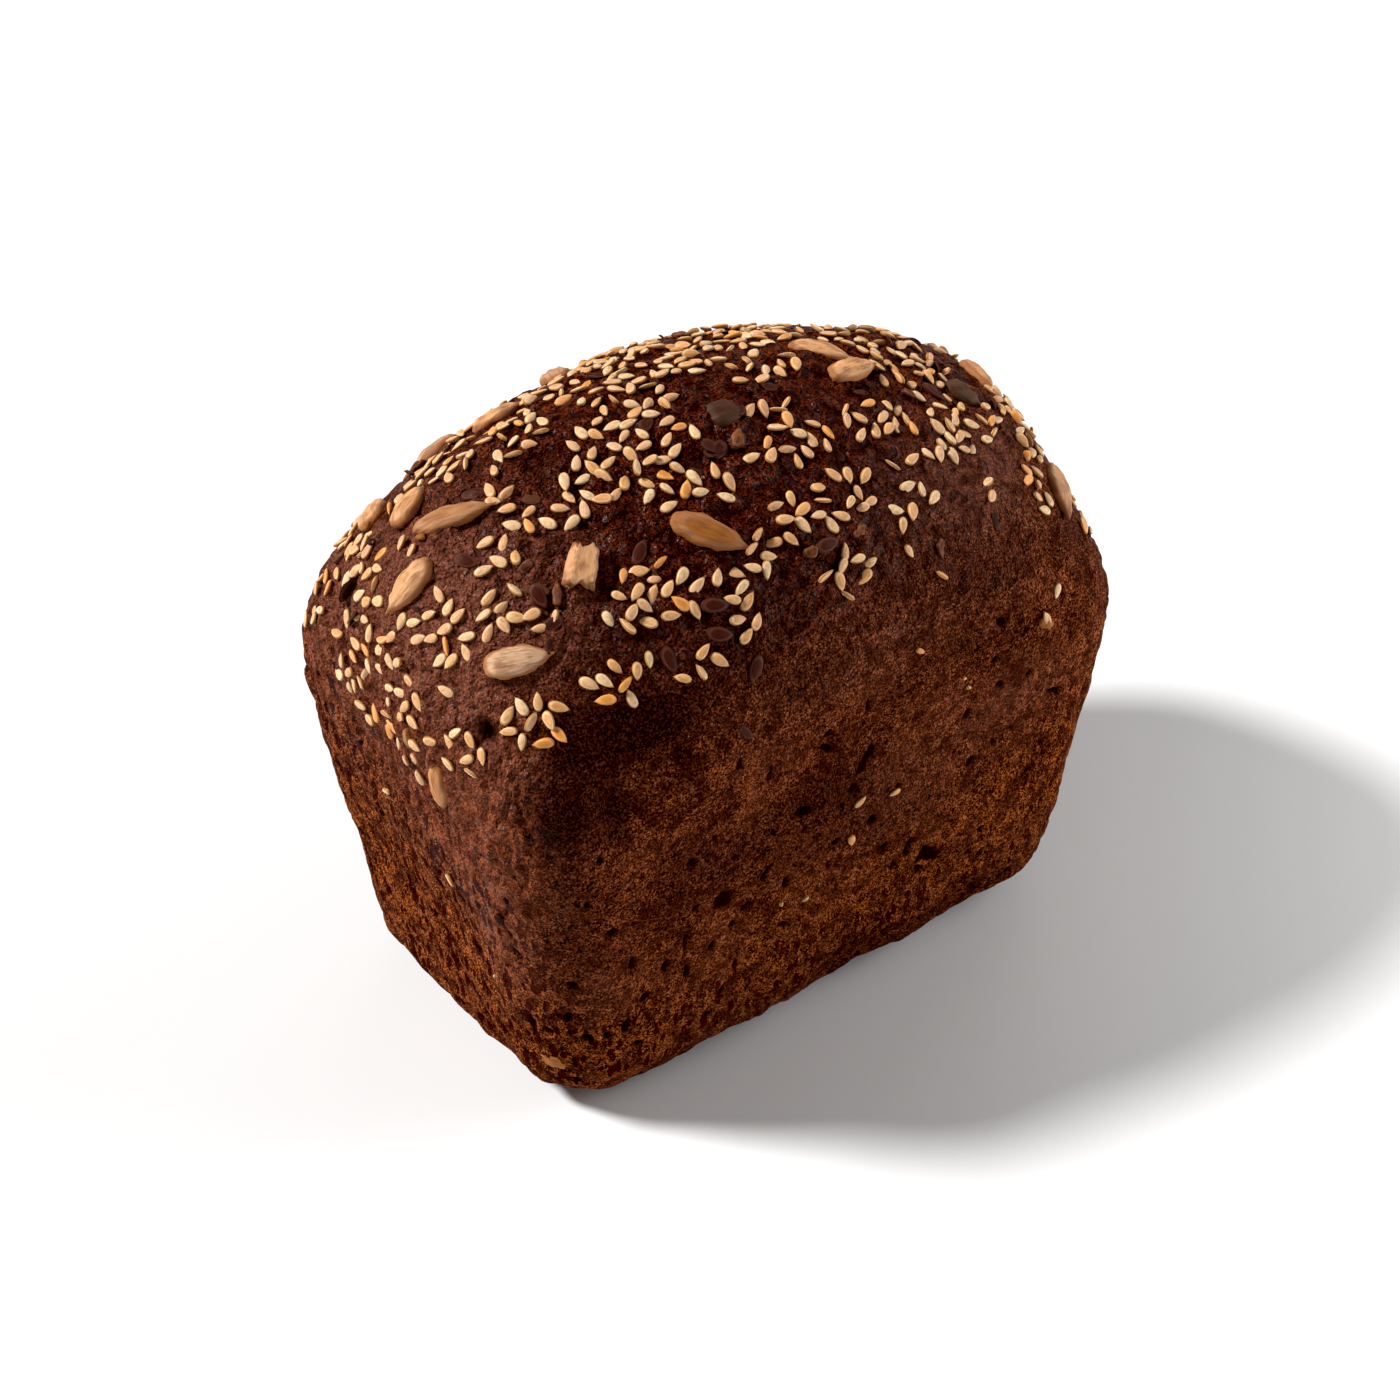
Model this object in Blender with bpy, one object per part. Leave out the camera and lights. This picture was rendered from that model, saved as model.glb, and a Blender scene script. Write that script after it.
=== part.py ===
"""Multigrain tin loaf, one solid.

A small dark loaf, baked in a tin and risen over its rim, with sunflower kernels, flax and sesame
baked into its top crust. Metres, +Z up, the long side along X, the origin under the middle of the
flat base. The form is a tapered box with round corners under a domed crown; a few named swells and
hollows, and slow lumps, make it as uneven as real bread.
"""

import math
import random

import bmesh
import bpy
import numpy as np
from mathutils import Matrix, Vector, noise

MM = 0.001

# The loaf's body: a box that widens from its base to the tin's rim.
BASE_HALF = (53.5 * MM, 32.5 * MM)
RIM_HALF = (60.5 * MM, 38.5 * MM)
RIM_HEIGHT = 69.0 * MM
BASE_CORNER = 16.5 * MM
RIM_CORNER = 12.5 * MM
BASE_ROUND = 13.0 * MM
SHOULDER_ROUND = 13.0 * MM

# The risen crown: its crest, and how far it falls to the ends and to the long sides.
CREST = (-2.0 * MM, 1.5 * MM)
CROWN_TOP = 109.0 * MM
CROWN_SLOPE = 0.8
END_FALL = 25.0 * MM
END_POWER = 1.9
SIDE_FALL = 24.0 * MM
SIDE_POWER = 1.75
# (x, y, reach, height) of the crown's broad swells, above or below its plain curve.
CROWN_SWELLS = (
    (4 * MM, 6 * MM, 25 * MM, -3.0 * MM),
    (-40 * MM, 8 * MM, 18 * MM, 1.2 * MM),
    (38 * MM, 6 * MM, 18 * MM, -1.1 * MM),
)

# The core's mesh: squares along X, Y and Z, cast outwards from the loaf's heart.
HEART = np.array((0.0, 0.0, 38.0 * MM))
GRID_CELLS = (24, 15, 14)
GRID_HALF = (60.5 * MM, 38.5 * MM, 42.0 * MM)
# Cells of a box grid bunch up at its corners, so a share of a sine bow evens them out.
GRID_BOW = math.radians(65)
GRID_BOW_SHARE = 0.45
CAST_REACH = 120.0 * MM
CAST_STEPS = 34

# Slow lumps of the crust, and its named knobs and hollows: (place, reach, height).
LUMP_WAVE = 17.0 * MM
LUMP_HEIGHT = 0.9 * MM
# Relief fades out over this height above the base, and points under this one are flat on it.
RELIEF_FADE = 8.0 * MM
FLAT_BELOW = 0.02 * MM
FEATURES = (
    ((-51 * MM, -34 * MM, 69 * MM), (7 * MM, 6 * MM, 6 * MM), 1.5 * MM),
    ((-44 * MM, -37 * MM, 66 * MM), (2.5 * MM, 4 * MM, 6 * MM), -1.4 * MM),
    ((28 * MM, -33 * MM, 7 * MM), (6 * MM, 4 * MM, 4 * MM), -2.4 * MM),
    ((0 * MM, -33 * MM, 8 * MM), (3 * MM, 4 * MM, 4 * MM), -1.5 * MM),
    ((3 * MM, -38 * MM, 61 * MM), (3 * MM, 4 * MM, 8 * MM), -1.0 * MM),
    ((30 * MM, -38 * MM, 52 * MM), (12 * MM, 6 * MM, 9 * MM), -0.8 * MM),
    ((-58 * MM, 8 * MM, 30 * MM), (6 * MM, 10 * MM, 8 * MM), -0.7 * MM),
    ((57 * MM, -14 * MM, 38 * MM), (6 * MM, 8 * MM, 9 * MM), -1.0 * MM),
    ((-22 * MM, 37 * MM, 44 * MM), (12 * MM, 5 * MM, 8 * MM), -1.0 * MM),
    ((34 * MM, 36 * MM, 10 * MM), (7 * MM, 4 * MM, 4 * MM), -1.8 * MM),
)

# Seeds: length, width and thickness; sides of the outline; shares of the outline at each height
# over the middle, from 0 to 1; and how pointed the tip is.
SEED_KINDS = {
    "sesame": ((3.1 * MM, 1.9 * MM, 1.0 * MM), 7, ((1.0, 0.0),), 0.40),
    "flax": ((4.8 * MM, 2.4 * MM, 1.1 * MM), 7, ((1.0, 0.0),), 0.35),
    "sunflower": ((10.5 * MM, 4.6 * MM, 3.2 * MM), 8, ((1.0, 0.0), (0.78, 0.66)), 0.35),
}
RIDGE_SHARE = 0.40
# How deep flax and sesame sit in the crust, and how much of a seed's length keeps others away.
FLAX_SINK = 0.42
SESAME_SINK = 0.36
SEED_CLEARANCE = 0.42

# Sunflower kernels: blunt end, pointed end (mm), width (mm), share sunk into the crust.
KERNELS = (
    ((-52, -17, 84), (-44, -22, 86), 4.6, 0.40),
    ((-50, -1, 93), (-57, 1, 86), 4.4, 0.40),
    ((-49, 6, 94), (-40, -2, 99), 4.0, 0.40),
    ((-49, 9, 93), (-42, 12, 97), 4.4, 0.50),
    ((-49, 20, 87), (-43, 27, 86), 4.8, 0.50),
    ((-30, 19, 97), (-22, 18, 100), 4.4, 0.45),
    ((-14, 20, 101), (-12, 26, 98), 5.2, 0.40),
    ((-37, -19, 92), (-32, -15, 97), 4.8, 0.45),
    ((-21, -19, 98), (-13, -27, 94), 4.8, 0.45),
    ((17, 2, 104), (25, -4, 102), 4.4, 0.40),
    ((17, -8, 102), (27, -6, 100), 4.2, 0.45),
    ((53, 2, 87), (51, -7, 87), 4.6, 0.50),
    ((39, -9, 93), (43, -13, 90), 4.2, 0.55),
    ((53, -20, 79), (49, -29, 75), 4.6, 0.50),
    ((-60, -13, 68), (-60, -12, 58), 4.2, 0.70),
    ((-54, -26, 15), (-49, -29, 13), 4.0, 0.85),
    ((-7, -9, 105), (-1, -10, 105), 5.0, 0.60),
    ((-28, 27, 91), (-36, 31, 86), 4.6, 0.45),
    ((8, 31, 90), (15, 27, 93), 4.4, 0.45),
    ((31, 30, 86), (33, 22, 91), 4.6, 0.45),
    ((46, 18, 88), (52, 25, 81), 4.4, 0.45),
    ((-6, 36, 84), (-15, 37, 82), 4.2, 0.50),
)

# Flax seeds: the same two ends (mm).
FLAX = (
    ((-30, -29, 86), (-30, -33, 82)),
    ((-23, -29, 89), (-19, -30, 88)),
    ((-24, -31, 86), (-20, -33, 85)),
    ((-17, -35, 81), (-19, -36, 78)),
    ((-29, -21, 94), (-25, -19, 97)),
    ((-42, 4, 98), (-39, 1, 100)),
    ((-48, -3, 94), (-46, -7, 94)),
    ((-42, -14, 93), (-42, -18, 91)),
    ((-3, -30, 91), (1, -30, 91)),
    ((34, -10, 96), (36, -13, 94)),
    ((-58, 15, 78), (-56, 15, 83)),
    ((-20, 33, 88), (-25, 34, 87)),
    ((22, 25, 94), (25, 29, 90)),
    ((41, 27, 86), (37, 30, 84)),
)

# Sesame lies in drifts: middle (mm), reach along X, Y and Z (mm), seeds. The solid has the first
# of each drift's seeds, and those of the near slope and end lie turned half round on the far ones.
DRIFTS = (
    ((-57, 25, 75), (3, 5, 5), 6),
    ((-55, 11, 86), (3, 5, 4), 8),
    ((-51, 5, 93), (2, 3, 0), 3),
    ((-59, 5, 78), (2, 9, 4), 11),
    ((-54, -7, 87), (3, 6, 4), 11),
    ((-60, 5, 70), (1, 7, 5), 9),
    ((-60, -6, 69), (1, 6, 7), 10),
    ((-59, -19, 73), (1, 4, 3), 6),
    ((-50, -26, 79), (4, 3, 3), 9),
    ((-38, -29, 83), (6, 3, 2), 7),
    ((-44, -7, 95), (3, 3, 0), 6),
    ((-47, -14, 90), (4, 3, 2), 7),
    ((-43, -19, 89), (3, 1, 0), 2),
    ((-39, -4, 99), (2, 4, 0), 6),
    ((-33, -10, 99), (3, 2, 0), 4),
    ((-34, 5, 102), (3, 4, 0), 4),
    ((-38, 15, 98), (4, 6, 0), 8),
    ((-29, 8, 103), (3, 5, 0), 8),
    ((-23, -4, 104), (4, 3, 0), 7),
    ((-26, -9, 102), (5, 3, 0), 8),
    ((-18, -14, 101), (4, 3, 0), 7),
    ((-14, -9, 104), (4, 3, 0), 5),
    ((-13, -3, 106), (4, 2, 0), 6),
    ((-13, 3, 106), (6, 4, 0), 10),
    ((-13, 14, 104), (7, 7, 0), 14),
    ((-1, 5, 106), (5, 5, 0), 9),
    ((-29, -25, 91), (6, 4, 2), 15),
    ((-23, -27, 91), (3, 3, 2), 7),
    ((-18, -32, 87), (3, 3, 4), 8),
    ((-27, -33, 83), (4, 2, 2), 4),
    ((-13, -28, 92), (6, 2, 0), 7),
    ((-2, -27, 94), (10, 2, 0), 12),
    ((17, -29, 90), (5, 3, 0), 5),
    ((1, -33, 87), (4, 3, 2), 8),
    ((3, -24, 96), (7, 2, 0), 5),
    ((-16, -18, 100), (5, 3, 0), 6),
    ((3, -17, 101), (6, 3, 0), 12),
    ((3, -11, 103), (4, 1, 0), 5),
    ((8, -3, 105), (6, 3, 0), 7),
    ((14, 10, 103), (10, 7, 0), 20),
    ((34, 3, 98), (9, 6, 0), 14),
    ((35, -7, 96), (8, 5, 0), 15),
    ((21, -16, 98), (7, 3, 0), 12),
    ((37, -17, 91), (8, 4, 0), 16),
    ((27, -22, 92), (9, 1, 0), 6),
    ((33, -27, 86), (1, 2, 0), 2),
    ((47, -23, 81), (4, 7, 2), 11),
    ((51, -10, 86), (4, 5, 0), 6),
)
FAR_DRIFTS_FROM = (-53.0, -13.5)
SOLID_SHARE = 0.28
DRIFT_SPREAD = 1.3
# Single seeds on the shoulders and low on the walls (mm).
STRAYS = (
    (-57, -13, 80),
    (17, -35, 81),
    (7, -38, 37),
    (9, -38, 48),
    (16, -38, 44),
    (14, -38, 66),
    (36, -38, 61),
    (37, -38, 67),
    (-60, 6, 50),
    (-59, -12, 45),
    (20, 38, 60),
    (-30, 37, 50),
    (60, 8, 52),
)
SESAME_APART = 2.3 * MM
SEED_SEED = 4200
DART_TRIES = 40
STRAY_TURN = 2.4
# Where the crust's normal leans more than this along X, a seed's turn is measured from Y.
END_WALL_SLOPE = 0.7
# Corners of the fused mesh that are closer than this become one.
WELD = 0.003 * MM
SHARP_FROM = math.radians(35)

# Colours of the crust and seeds: base colour (linear), roughness.
FINISHES = {
    "crust": ((0.045, 0.016, 0.010), 0.55),
    "sesame": ((0.60, 0.36, 0.15), 0.50),
    "flax": ((0.060, 0.020, 0.012), 0.35),
    "sunflower": ((0.42, 0.23, 0.11), 0.55),
}


def clear_scene():
    """Remove every object, so that the script can run from any file."""
    for thing in list(bpy.data.objects):
        bpy.data.objects.remove(thing, do_unlink=True)


def finish_material(name):
    """Principled material of one of the named finishes."""
    colour, roughness = FINISHES[name]
    material = bpy.data.materials.new(name)
    material.use_nodes = True
    shader = material.node_tree.nodes["Principled BSDF"]
    shader.inputs["Base Color"].default_value = (*colour, 1.0)
    shader.inputs["Roughness"].default_value = roughness
    shader.inputs["Metallic"].default_value = 0.0
    return material


# ---------------------------------------------------------------- the loaf's form


def smooth_max(a, b, blend):
    """The larger of two measures, rounded where they meet within the blend length."""
    near = np.maximum(blend - np.abs(a - b), 0.0) / blend
    return np.maximum(a, b) + near * near * blend * 0.25


def crown_height(x, y):
    """Height of the crown's curve over a place on the plan."""
    end = END_FALL * np.abs((x - CREST[0]) / RIM_HALF[0]) ** END_POWER
    side = SIDE_FALL * np.abs((y - CREST[1]) / RIM_HALF[1]) ** SIDE_POWER
    height = CROWN_TOP - end - side
    for at_x, at_y, reach, rise in CROWN_SWELLS:
        height = height + rise * np.exp(-((x - at_x) ** 2 + (y - at_y) ** 2) / reach**2)
    return height


def crust_measure(points):
    """How far points lie outside the loaf's plain form; negative inside."""
    x, y, z = points[..., 0], points[..., 1], points[..., 2]
    rise = np.clip(z / RIM_HEIGHT, 0.0, 1.0)
    half_x = BASE_HALF[0] + (RIM_HALF[0] - BASE_HALF[0]) * rise
    half_y = BASE_HALF[1] + (RIM_HALF[1] - BASE_HALF[1]) * rise
    corner = BASE_CORNER + (RIM_CORNER - BASE_CORNER) * rise
    over_x = np.abs(x) - (half_x - corner)
    over_y = np.abs(y) - (half_y - corner)
    outside = np.hypot(np.maximum(over_x, 0.0), np.maximum(over_y, 0.0))
    wall = outside + np.minimum(np.maximum(over_x, over_y), 0.0) - corner
    dome = (z - crown_height(x, y)) * CROWN_SLOPE
    return smooth_max(smooth_max(wall, dome, SHOULDER_ROUND), -z, BASE_ROUND)


def cast(aims):
    """Points of the plain form on the rays from the heart through the aims."""
    ways = aims - HEART
    ways = ways / np.linalg.norm(ways, axis=-1, keepdims=True)
    near = np.zeros(ways.shape[:-1])
    far = np.full(ways.shape[:-1], CAST_REACH)
    for _ in range(CAST_STEPS):
        middle = (near + far) / 2
        inside = crust_measure(HEART + ways * middle[..., None]) < 0
        near = np.where(inside, middle, near)
        far = np.where(inside, far, middle)
    return HEART + ways * near[..., None]


def normals_at(points):
    """Outward unit normals of the plain form."""
    step = 0.05 * MM
    slopes = []
    for axis in range(3):
        shift = np.zeros(3)
        shift[axis] = step
        slopes.append(crust_measure(points + shift) - crust_measure(points - shift))
    slopes = np.stack(slopes, axis=-1)
    return slopes / np.linalg.norm(slopes, axis=-1, keepdims=True)


def relief(points):
    """Height of the crust's lumps, knobs and hollows over its plain form; none under the base."""
    lumps = np.array([noise.noise(Vector(point / LUMP_WAVE)) for point in points]) * LUMP_HEIGHT
    for place, reach, height in FEATURES:
        away = (points - np.array(place)) / np.array(reach)
        lumps = lumps + height * np.exp(-np.sum(away * away, axis=-1))
    return lumps * np.clip(points[:, 2] / RELIEF_FADE, 0.0, 1.0)


def crust_points(aims):
    """Points of the uneven crust on the rays from the heart through the aims."""
    plain = cast(aims)
    return plain + normals_at(plain) * relief(plain)[:, None]


# ---------------------------------------------------------------- meshes


def box_grid():
    """Vertices and squares of a closed box grid round the heart."""
    cells = np.array(GRID_CELLS)
    keys = {}
    places = []
    squares = []

    def vertex(step):
        """Number of the vertex at a whole-number place on the grid."""
        if step not in keys:
            keys[step] = len(places)
            places.append(step)
        return keys[step]

    for axis in range(3):
        first, second = (axis + 1) % 3, (axis + 2) % 3
        for side in (0, cells[axis]):
            for i in range(cells[first]):
                for j in range(cells[second]):
                    ring = []
                    for di, dj in ((0, 0), (1, 0), (1, 1), (0, 1)):
                        step = [0, 0, 0]
                        step[axis], step[first], step[second] = int(side), i + di, j + dj
                        ring.append(vertex(tuple(step)))
                    squares.append(ring if side else ring[::-1])
    unit = np.array(places) / cells * 2.0 - 1.0
    return unit, squares


def loaf_core():
    """The bare loaf as a mesh object: the box grid cast onto the uneven crust."""
    unit, squares = box_grid()
    bowed = np.sin(unit * GRID_BOW) / math.sin(GRID_BOW)
    unit = unit + (bowed - unit) * GRID_BOW_SHARE
    points = crust_points(HEART + unit * np.array(GRID_HALF))
    low = points[:, 2] < FLAT_BELOW
    points[low, 2] = 0.0
    mesh = bpy.data.meshes.new("loaf")
    mesh.from_pydata([tuple(point) for point in points], [], squares)
    join_base(mesh)
    triangulate(mesh)
    mesh.materials.append(finish_material("crust"))
    loaf = bpy.data.objects.new("loaf", mesh)
    bpy.context.scene.collection.objects.link(loaf)
    return loaf


def join_base(mesh):
    """Join the squares that lie flat under the loaf into one face."""
    work = bmesh.new()
    work.from_mesh(mesh)
    flat = [face for face in work.faces if all(vert.co.z == 0.0 for vert in face.verts)]
    bmesh.ops.dissolve_faces(work, faces=flat, use_verts=True)
    work.to_mesh(mesh)
    work.free()


def triangulate(mesh):
    """Cut the mesh's faces into triangles, squares along their shorter diagonals."""
    work = bmesh.new()
    work.from_mesh(mesh)
    bmesh.ops.triangulate(work, faces=work.faces[:], quad_method="SHORT_EDGE")
    work.to_mesh(mesh)
    work.free()


def seed_mesh(kind, name, size):
    """Flattened drop of the given size, blunt towards -X, with its point and its ridge along +X."""
    _, sides, levels, point = SEED_KINDS[kind]
    length, width, thickness = size
    work = bmesh.new()
    rings = []
    for share, height in levels:
        ring = []
        for side in range(sides):
            turn = 2 * math.pi * side / sides
            along = math.cos(turn)
            across = math.sin(turn) * (1.0 - point * along)
            place = (along * share * length / 2, across * share * width / 2, height * thickness / 2)
            ring.append(work.verts.new(place))
        rings.append(ring)
    belly = work.verts.new((0.0, 0.0, -thickness / 2))
    ridge = [
        work.verts.new((end * RIDGE_SHARE * length / 2, 0.0, thickness / 2)) for end in (-1, 1)
    ]
    for side in range(sides):
        after = (side + 1) % sides
        work.faces.new((belly, rings[0][after], rings[0][side]))
        for low, high in zip(rings, rings[1:]):
            work.faces.new((low[side], low[after], high[after], high[side]))
        top = rings[-1]
        over = [ridge[top[side].co.x > 0], ridge[top[after].co.x > 0]]
        corners = [top[side], top[after], over[1]] + ([over[0]] if over[0] != over[1] else [])
        work.faces.new(corners)
    bmesh.ops.recalc_face_normals(work, faces=work.faces[:])
    mesh = bpy.data.meshes.new(name)
    work.to_mesh(mesh)
    work.free()
    triangulate(mesh)
    return mesh


# ---------------------------------------------------------------- laying the seeds


def lay_seed(kind, name, middle, heading, size, sink, material, tray):
    """One seed on the crust at a point, its tip along the heading, sunk by a share of itself."""
    thing = bpy.data.objects.new(name, seed_mesh(kind, name, size))
    thing.data.materials.append(material)
    up = Vector(normals_at(middle[None])[0])
    along = Vector(heading)
    along = (along - up * along.dot(up)).normalized()
    across = up.cross(along)
    frame = Matrix((along, across, up)).transposed().to_4x4()
    lift = size[2] * (0.5 - sink)
    frame.translation = Vector(middle) + up * lift
    thing.matrix_world = frame
    tray.objects.link(thing)
    return thing


def ends_to_lay(blunt, tip):
    """Middle on the crust, heading and length of a seed that lies between two places in mm."""
    blunt, tip = np.array(blunt) * MM, np.array(tip) * MM
    middle = crust_points(((blunt + tip) / 2)[None])[0]
    return middle, tip - blunt, float(np.linalg.norm(tip - blunt))


def lay_kernels(tray):
    """The sunflower kernels; returns their middles and half lengths, which sesame keeps clear of."""
    material = finish_material("sunflower")
    thickness = SEED_KINDS["sunflower"][0][2]
    taken = []
    for number, (blunt, tip, width, sink) in enumerate(KERNELS):
        middle, heading, length = ends_to_lay(blunt, tip)
        size = (length, width * MM, thickness)
        lay_seed("sunflower", f"kernel_{number}", middle, heading, size, sink, material, tray)
        taken.append((middle, length * SEED_CLEARANCE))
    return taken


def lay_flax(tray):
    """The flax seeds; returns their middles and half lengths."""
    material = finish_material("flax")
    size = SEED_KINDS["flax"][0]
    taken = []
    for number, (blunt, tip) in enumerate(FLAX):
        middle, heading, _ = ends_to_lay(blunt, tip)
        lay_seed("flax", f"flax_{number}", middle, heading, size, FLAX_SINK, material, tray)
        taken.append((middle, size[0] * SEED_CLEARANCE))
    return taken


def all_drifts():
    """Every drift of sesame: the listed ones, then those turned half round onto the far sides."""
    far_x, far_y = FAR_DRIFTS_FROM
    turned = [
        ((-x, -y, z), reach, count)
        for (x, y, z), reach, count in DRIFTS
        if x < far_x or y < far_y
    ]
    return list(DRIFTS) + turned


def sesame_places(taken):
    """Middles and turns of the sesame: darts thrown into each drift, kept apart from the rest."""
    clear = list(taken)
    places = []
    for number, (middle, reach, count) in enumerate(all_drifts()):
        rng = random.Random(SEED_SEED + number)
        wanted = max(1, round(count * SOLID_SHARE))
        landed = 0
        for _ in range(wanted * DART_TRIES):
            if landed == wanted:
                break
            dart = np.array([rng.gauss(0.0, 1.0) for _ in range(3)])
            dart *= DRIFT_SPREAD * rng.random() ** (1 / 3) / np.linalg.norm(dart)
            turn = rng.uniform(0, 2 * math.pi)
            place = crust_points((np.array(middle) + dart * np.array(reach))[None] * MM)[0]
            if all(np.linalg.norm(place - other) > gap + SESAME_APART / 2 for other, gap in clear):
                clear.append((place, SESAME_APART / 2))
                places.append((place, turn))
                landed += 1
    for number, stray in enumerate(STRAYS):
        place = crust_points(np.array(stray)[None] * MM)[0]
        places.append((place, number * STRAY_TURN))
    return places


def lay_sesame(tray, taken):
    """The sesame seeds of this solid."""
    material = finish_material("sesame")
    size = SEED_KINDS["sesame"][0]
    for number, (place, heading) in enumerate(sesame_places(taken)):
        up = normals_at(place[None])[0]
        level = np.array((0.0, 1.0, 0.0) if abs(up[0]) > END_WALL_SLOPE else (1.0, 0.0, 0.0))
        across = np.cross(up, level)
        way = level * math.cos(heading) + across * math.sin(heading)
        lay_seed("sesame", f"sesame_{number}", place, way, size, SESAME_SINK, material, tray)


# ---------------------------------------------------------------- fusing


def fuse(loaf, tray):
    """Union of the loaf with every seed in the tray, after which the seeds are removed."""
    union = loaf.modifiers.new("seeds", "BOOLEAN")
    union.operation = "UNION"
    union.solver = "EXACT"
    union.operand_type = "COLLECTION"
    union.collection = tray
    union.material_mode = "TRANSFER"
    bpy.context.view_layer.update()
    evaluated = loaf.evaluated_get(bpy.context.evaluated_depsgraph_get())
    fused = bpy.data.meshes.new_from_object(evaluated)
    loaf.modifiers.remove(union)
    loaf.data = fused
    fused.name = "loaf"
    for thing in list(tray.objects):
        bpy.data.objects.remove(thing, do_unlink=True)
    bpy.data.collections.remove(tray)


def keep_one_body(mesh):
    """Drop loose scraps and fill sealed hollows: only the largest connected shell stays."""
    work = bmesh.new()
    work.from_mesh(mesh)
    bmesh.ops.remove_doubles(work, verts=work.verts[:], dist=WELD)
    bmesh.ops.dissolve_degenerate(work, dist=WELD, edges=work.edges[:])
    bmesh.ops.triangulate(work, faces=work.faces[:], quad_method="SHORT_EDGE")
    unseen = set(work.faces)
    shells = []
    while unseen:
        shell, front = [], [unseen.pop()]
        while front:
            face = front.pop()
            shell.append(face)
            for edge in face.edges:
                for other in edge.link_faces:
                    if other in unseen:
                        unseen.remove(other)
                        front.append(other)
        shells.append(shell)
    shells.sort(key=len, reverse=True)
    for shell in shells[1:]:
        bmesh.ops.delete(work, geom=shell, context="FACES")
    work.to_mesh(mesh)
    work.free()


def main():
    """Build the loaf: its bare core, the seeds laid on it, and the union of them all."""
    clear_scene()
    loaf = loaf_core()
    tray = bpy.data.collections.new("seeds")
    bpy.context.scene.collection.children.link(tray)
    taken = lay_kernels(tray) + lay_flax(tray)
    lay_sesame(tray, taken)
    fuse(loaf, tray)
    keep_one_body(loaf.data)
    loaf.data.shade_smooth()
    loaf.data.set_sharp_from_angle(angle=SHARP_FROM)


main()
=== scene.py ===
"""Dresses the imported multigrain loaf: its crust, its seeds, a pale floor, soft light and a camera.

The crust is one closed mesh, cast onto the same form as the solid and roughened with real lumps,
wrinkles and pores. Sesame, flax, sunflower kernels, bran and bits of cracked grain are laid on it
by the same rules as the solid's, one piece for each kind. Metres, +Z up, the long side along X.
"""

import logging
import math
import random
from collections.abc import Iterator
from dataclasses import dataclass, field
from enum import Enum

import bpy
import numpy as np
from mathutils import Matrix, Vector, kdtree, noise
from mathutils.bvhtree import BVHTree


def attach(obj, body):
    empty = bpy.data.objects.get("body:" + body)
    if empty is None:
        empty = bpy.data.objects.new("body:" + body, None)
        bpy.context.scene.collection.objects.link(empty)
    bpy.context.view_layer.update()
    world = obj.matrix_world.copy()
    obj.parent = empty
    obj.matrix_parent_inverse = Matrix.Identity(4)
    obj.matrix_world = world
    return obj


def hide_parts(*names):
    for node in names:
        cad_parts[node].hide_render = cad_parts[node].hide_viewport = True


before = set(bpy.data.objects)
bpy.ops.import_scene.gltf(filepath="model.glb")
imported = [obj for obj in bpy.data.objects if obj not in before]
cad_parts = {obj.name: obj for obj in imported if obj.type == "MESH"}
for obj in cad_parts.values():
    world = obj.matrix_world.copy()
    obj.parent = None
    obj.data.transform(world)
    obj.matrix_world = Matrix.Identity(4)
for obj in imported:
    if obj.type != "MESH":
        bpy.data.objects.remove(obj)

MM = 0.001
TURN = 2 * math.pi
LOG = logging.getLogger("loaf")
Colour = tuple[float, float, float]
Place = tuple[float, float, float]
Row = tuple[float, ...]
Rows = tuple[Row, ...]
Socket = bpy.types.NodeSocket


# ------------------------------------------------------------------ small helpers


def smooth_step(values: np.ndarray, low: float, high: float) -> np.ndarray:
    """Rise smoothly from 0 where the values are low to 1 where they are high."""
    share = np.clip((values - low) / (high - low), 0.0, 1.0)
    return share * share * (3.0 - 2.0 * share)


def smooth_max(a: np.ndarray, b: np.ndarray, blend: float) -> np.ndarray:
    """Take the larger of two measures, rounded over the blend's length where they meet."""
    near = np.maximum(blend - np.abs(a - b), 0.0) / blend
    return np.maximum(a, b) + near * near * blend / 4


def noise_at(points: np.ndarray, wave: float, shift: float = 0.0) -> np.ndarray:
    """Read smooth noise of one wave's length, from about -1 to 1, at points moved by a shift."""
    return np.array([noise.noise(Vector(point)) for point in points / wave + shift])


def lumps_at(points: np.ndarray, lumps: Rows, unit: float = 1.0) -> np.ndarray:
    """Add up noises at points, each a row of its wave (mm), its shift and its height in units."""
    return sum(noise_at(points, wave * MM, shift) * height * unit for wave, shift, height in lumps)


def spots_at(points: np.ndarray, spots: Rows, unit: float = 1.0) -> np.ndarray:
    """Add up soft round spots at points.

    Args:
        points: Points in metres, one a row.
        spots: Each spot's middle and reach along X, Y and Z (mm), and its height.
        unit: What a height of 1 stands for.

    Returns:
        The sum of the spots at each point.
    """
    total = np.zeros(len(points))
    for *numbers, height in spots:
        away = (points / MM - numbers[:3]) / numbers[3:]
        total += height * unit * np.exp(-np.sum(away * away, axis=-1))
    return total


def unit_rows(rows: np.ndarray) -> np.ndarray:
    """Bring every row to a length of 1."""
    return rows / np.linalg.norm(rows, axis=-1, keepdims=True)


def meshed(name: str, points: list, faces: list) -> bpy.types.Mesh:
    """Make a smoothly shaded mesh.

    Args:
        name: What it is called.
        points: Its points.
        faces: Its faces, as numbers of points.

    Returns:
        The mesh.
    """
    mesh = bpy.data.meshes.new(name)
    mesh.from_pydata(points, [], faces)
    mesh.shade_smooth()
    return mesh


def store(mesh: bpy.types.Mesh, name: str, values: object) -> None:
    """Store a number, or three, on every point of a mesh.

    Args:
        mesh: The mesh.
        name: What the number is called.
        values: A number, or three, for every point.
    """
    values = np.array(values, np.float32)
    kind, part = ("FLOAT", "value") if values.ndim == 1 else ("FLOAT_VECTOR", "vector")
    mesh.attributes.new(name, kind, "POINT").data.foreach_set(part, values.ravel())


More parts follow.
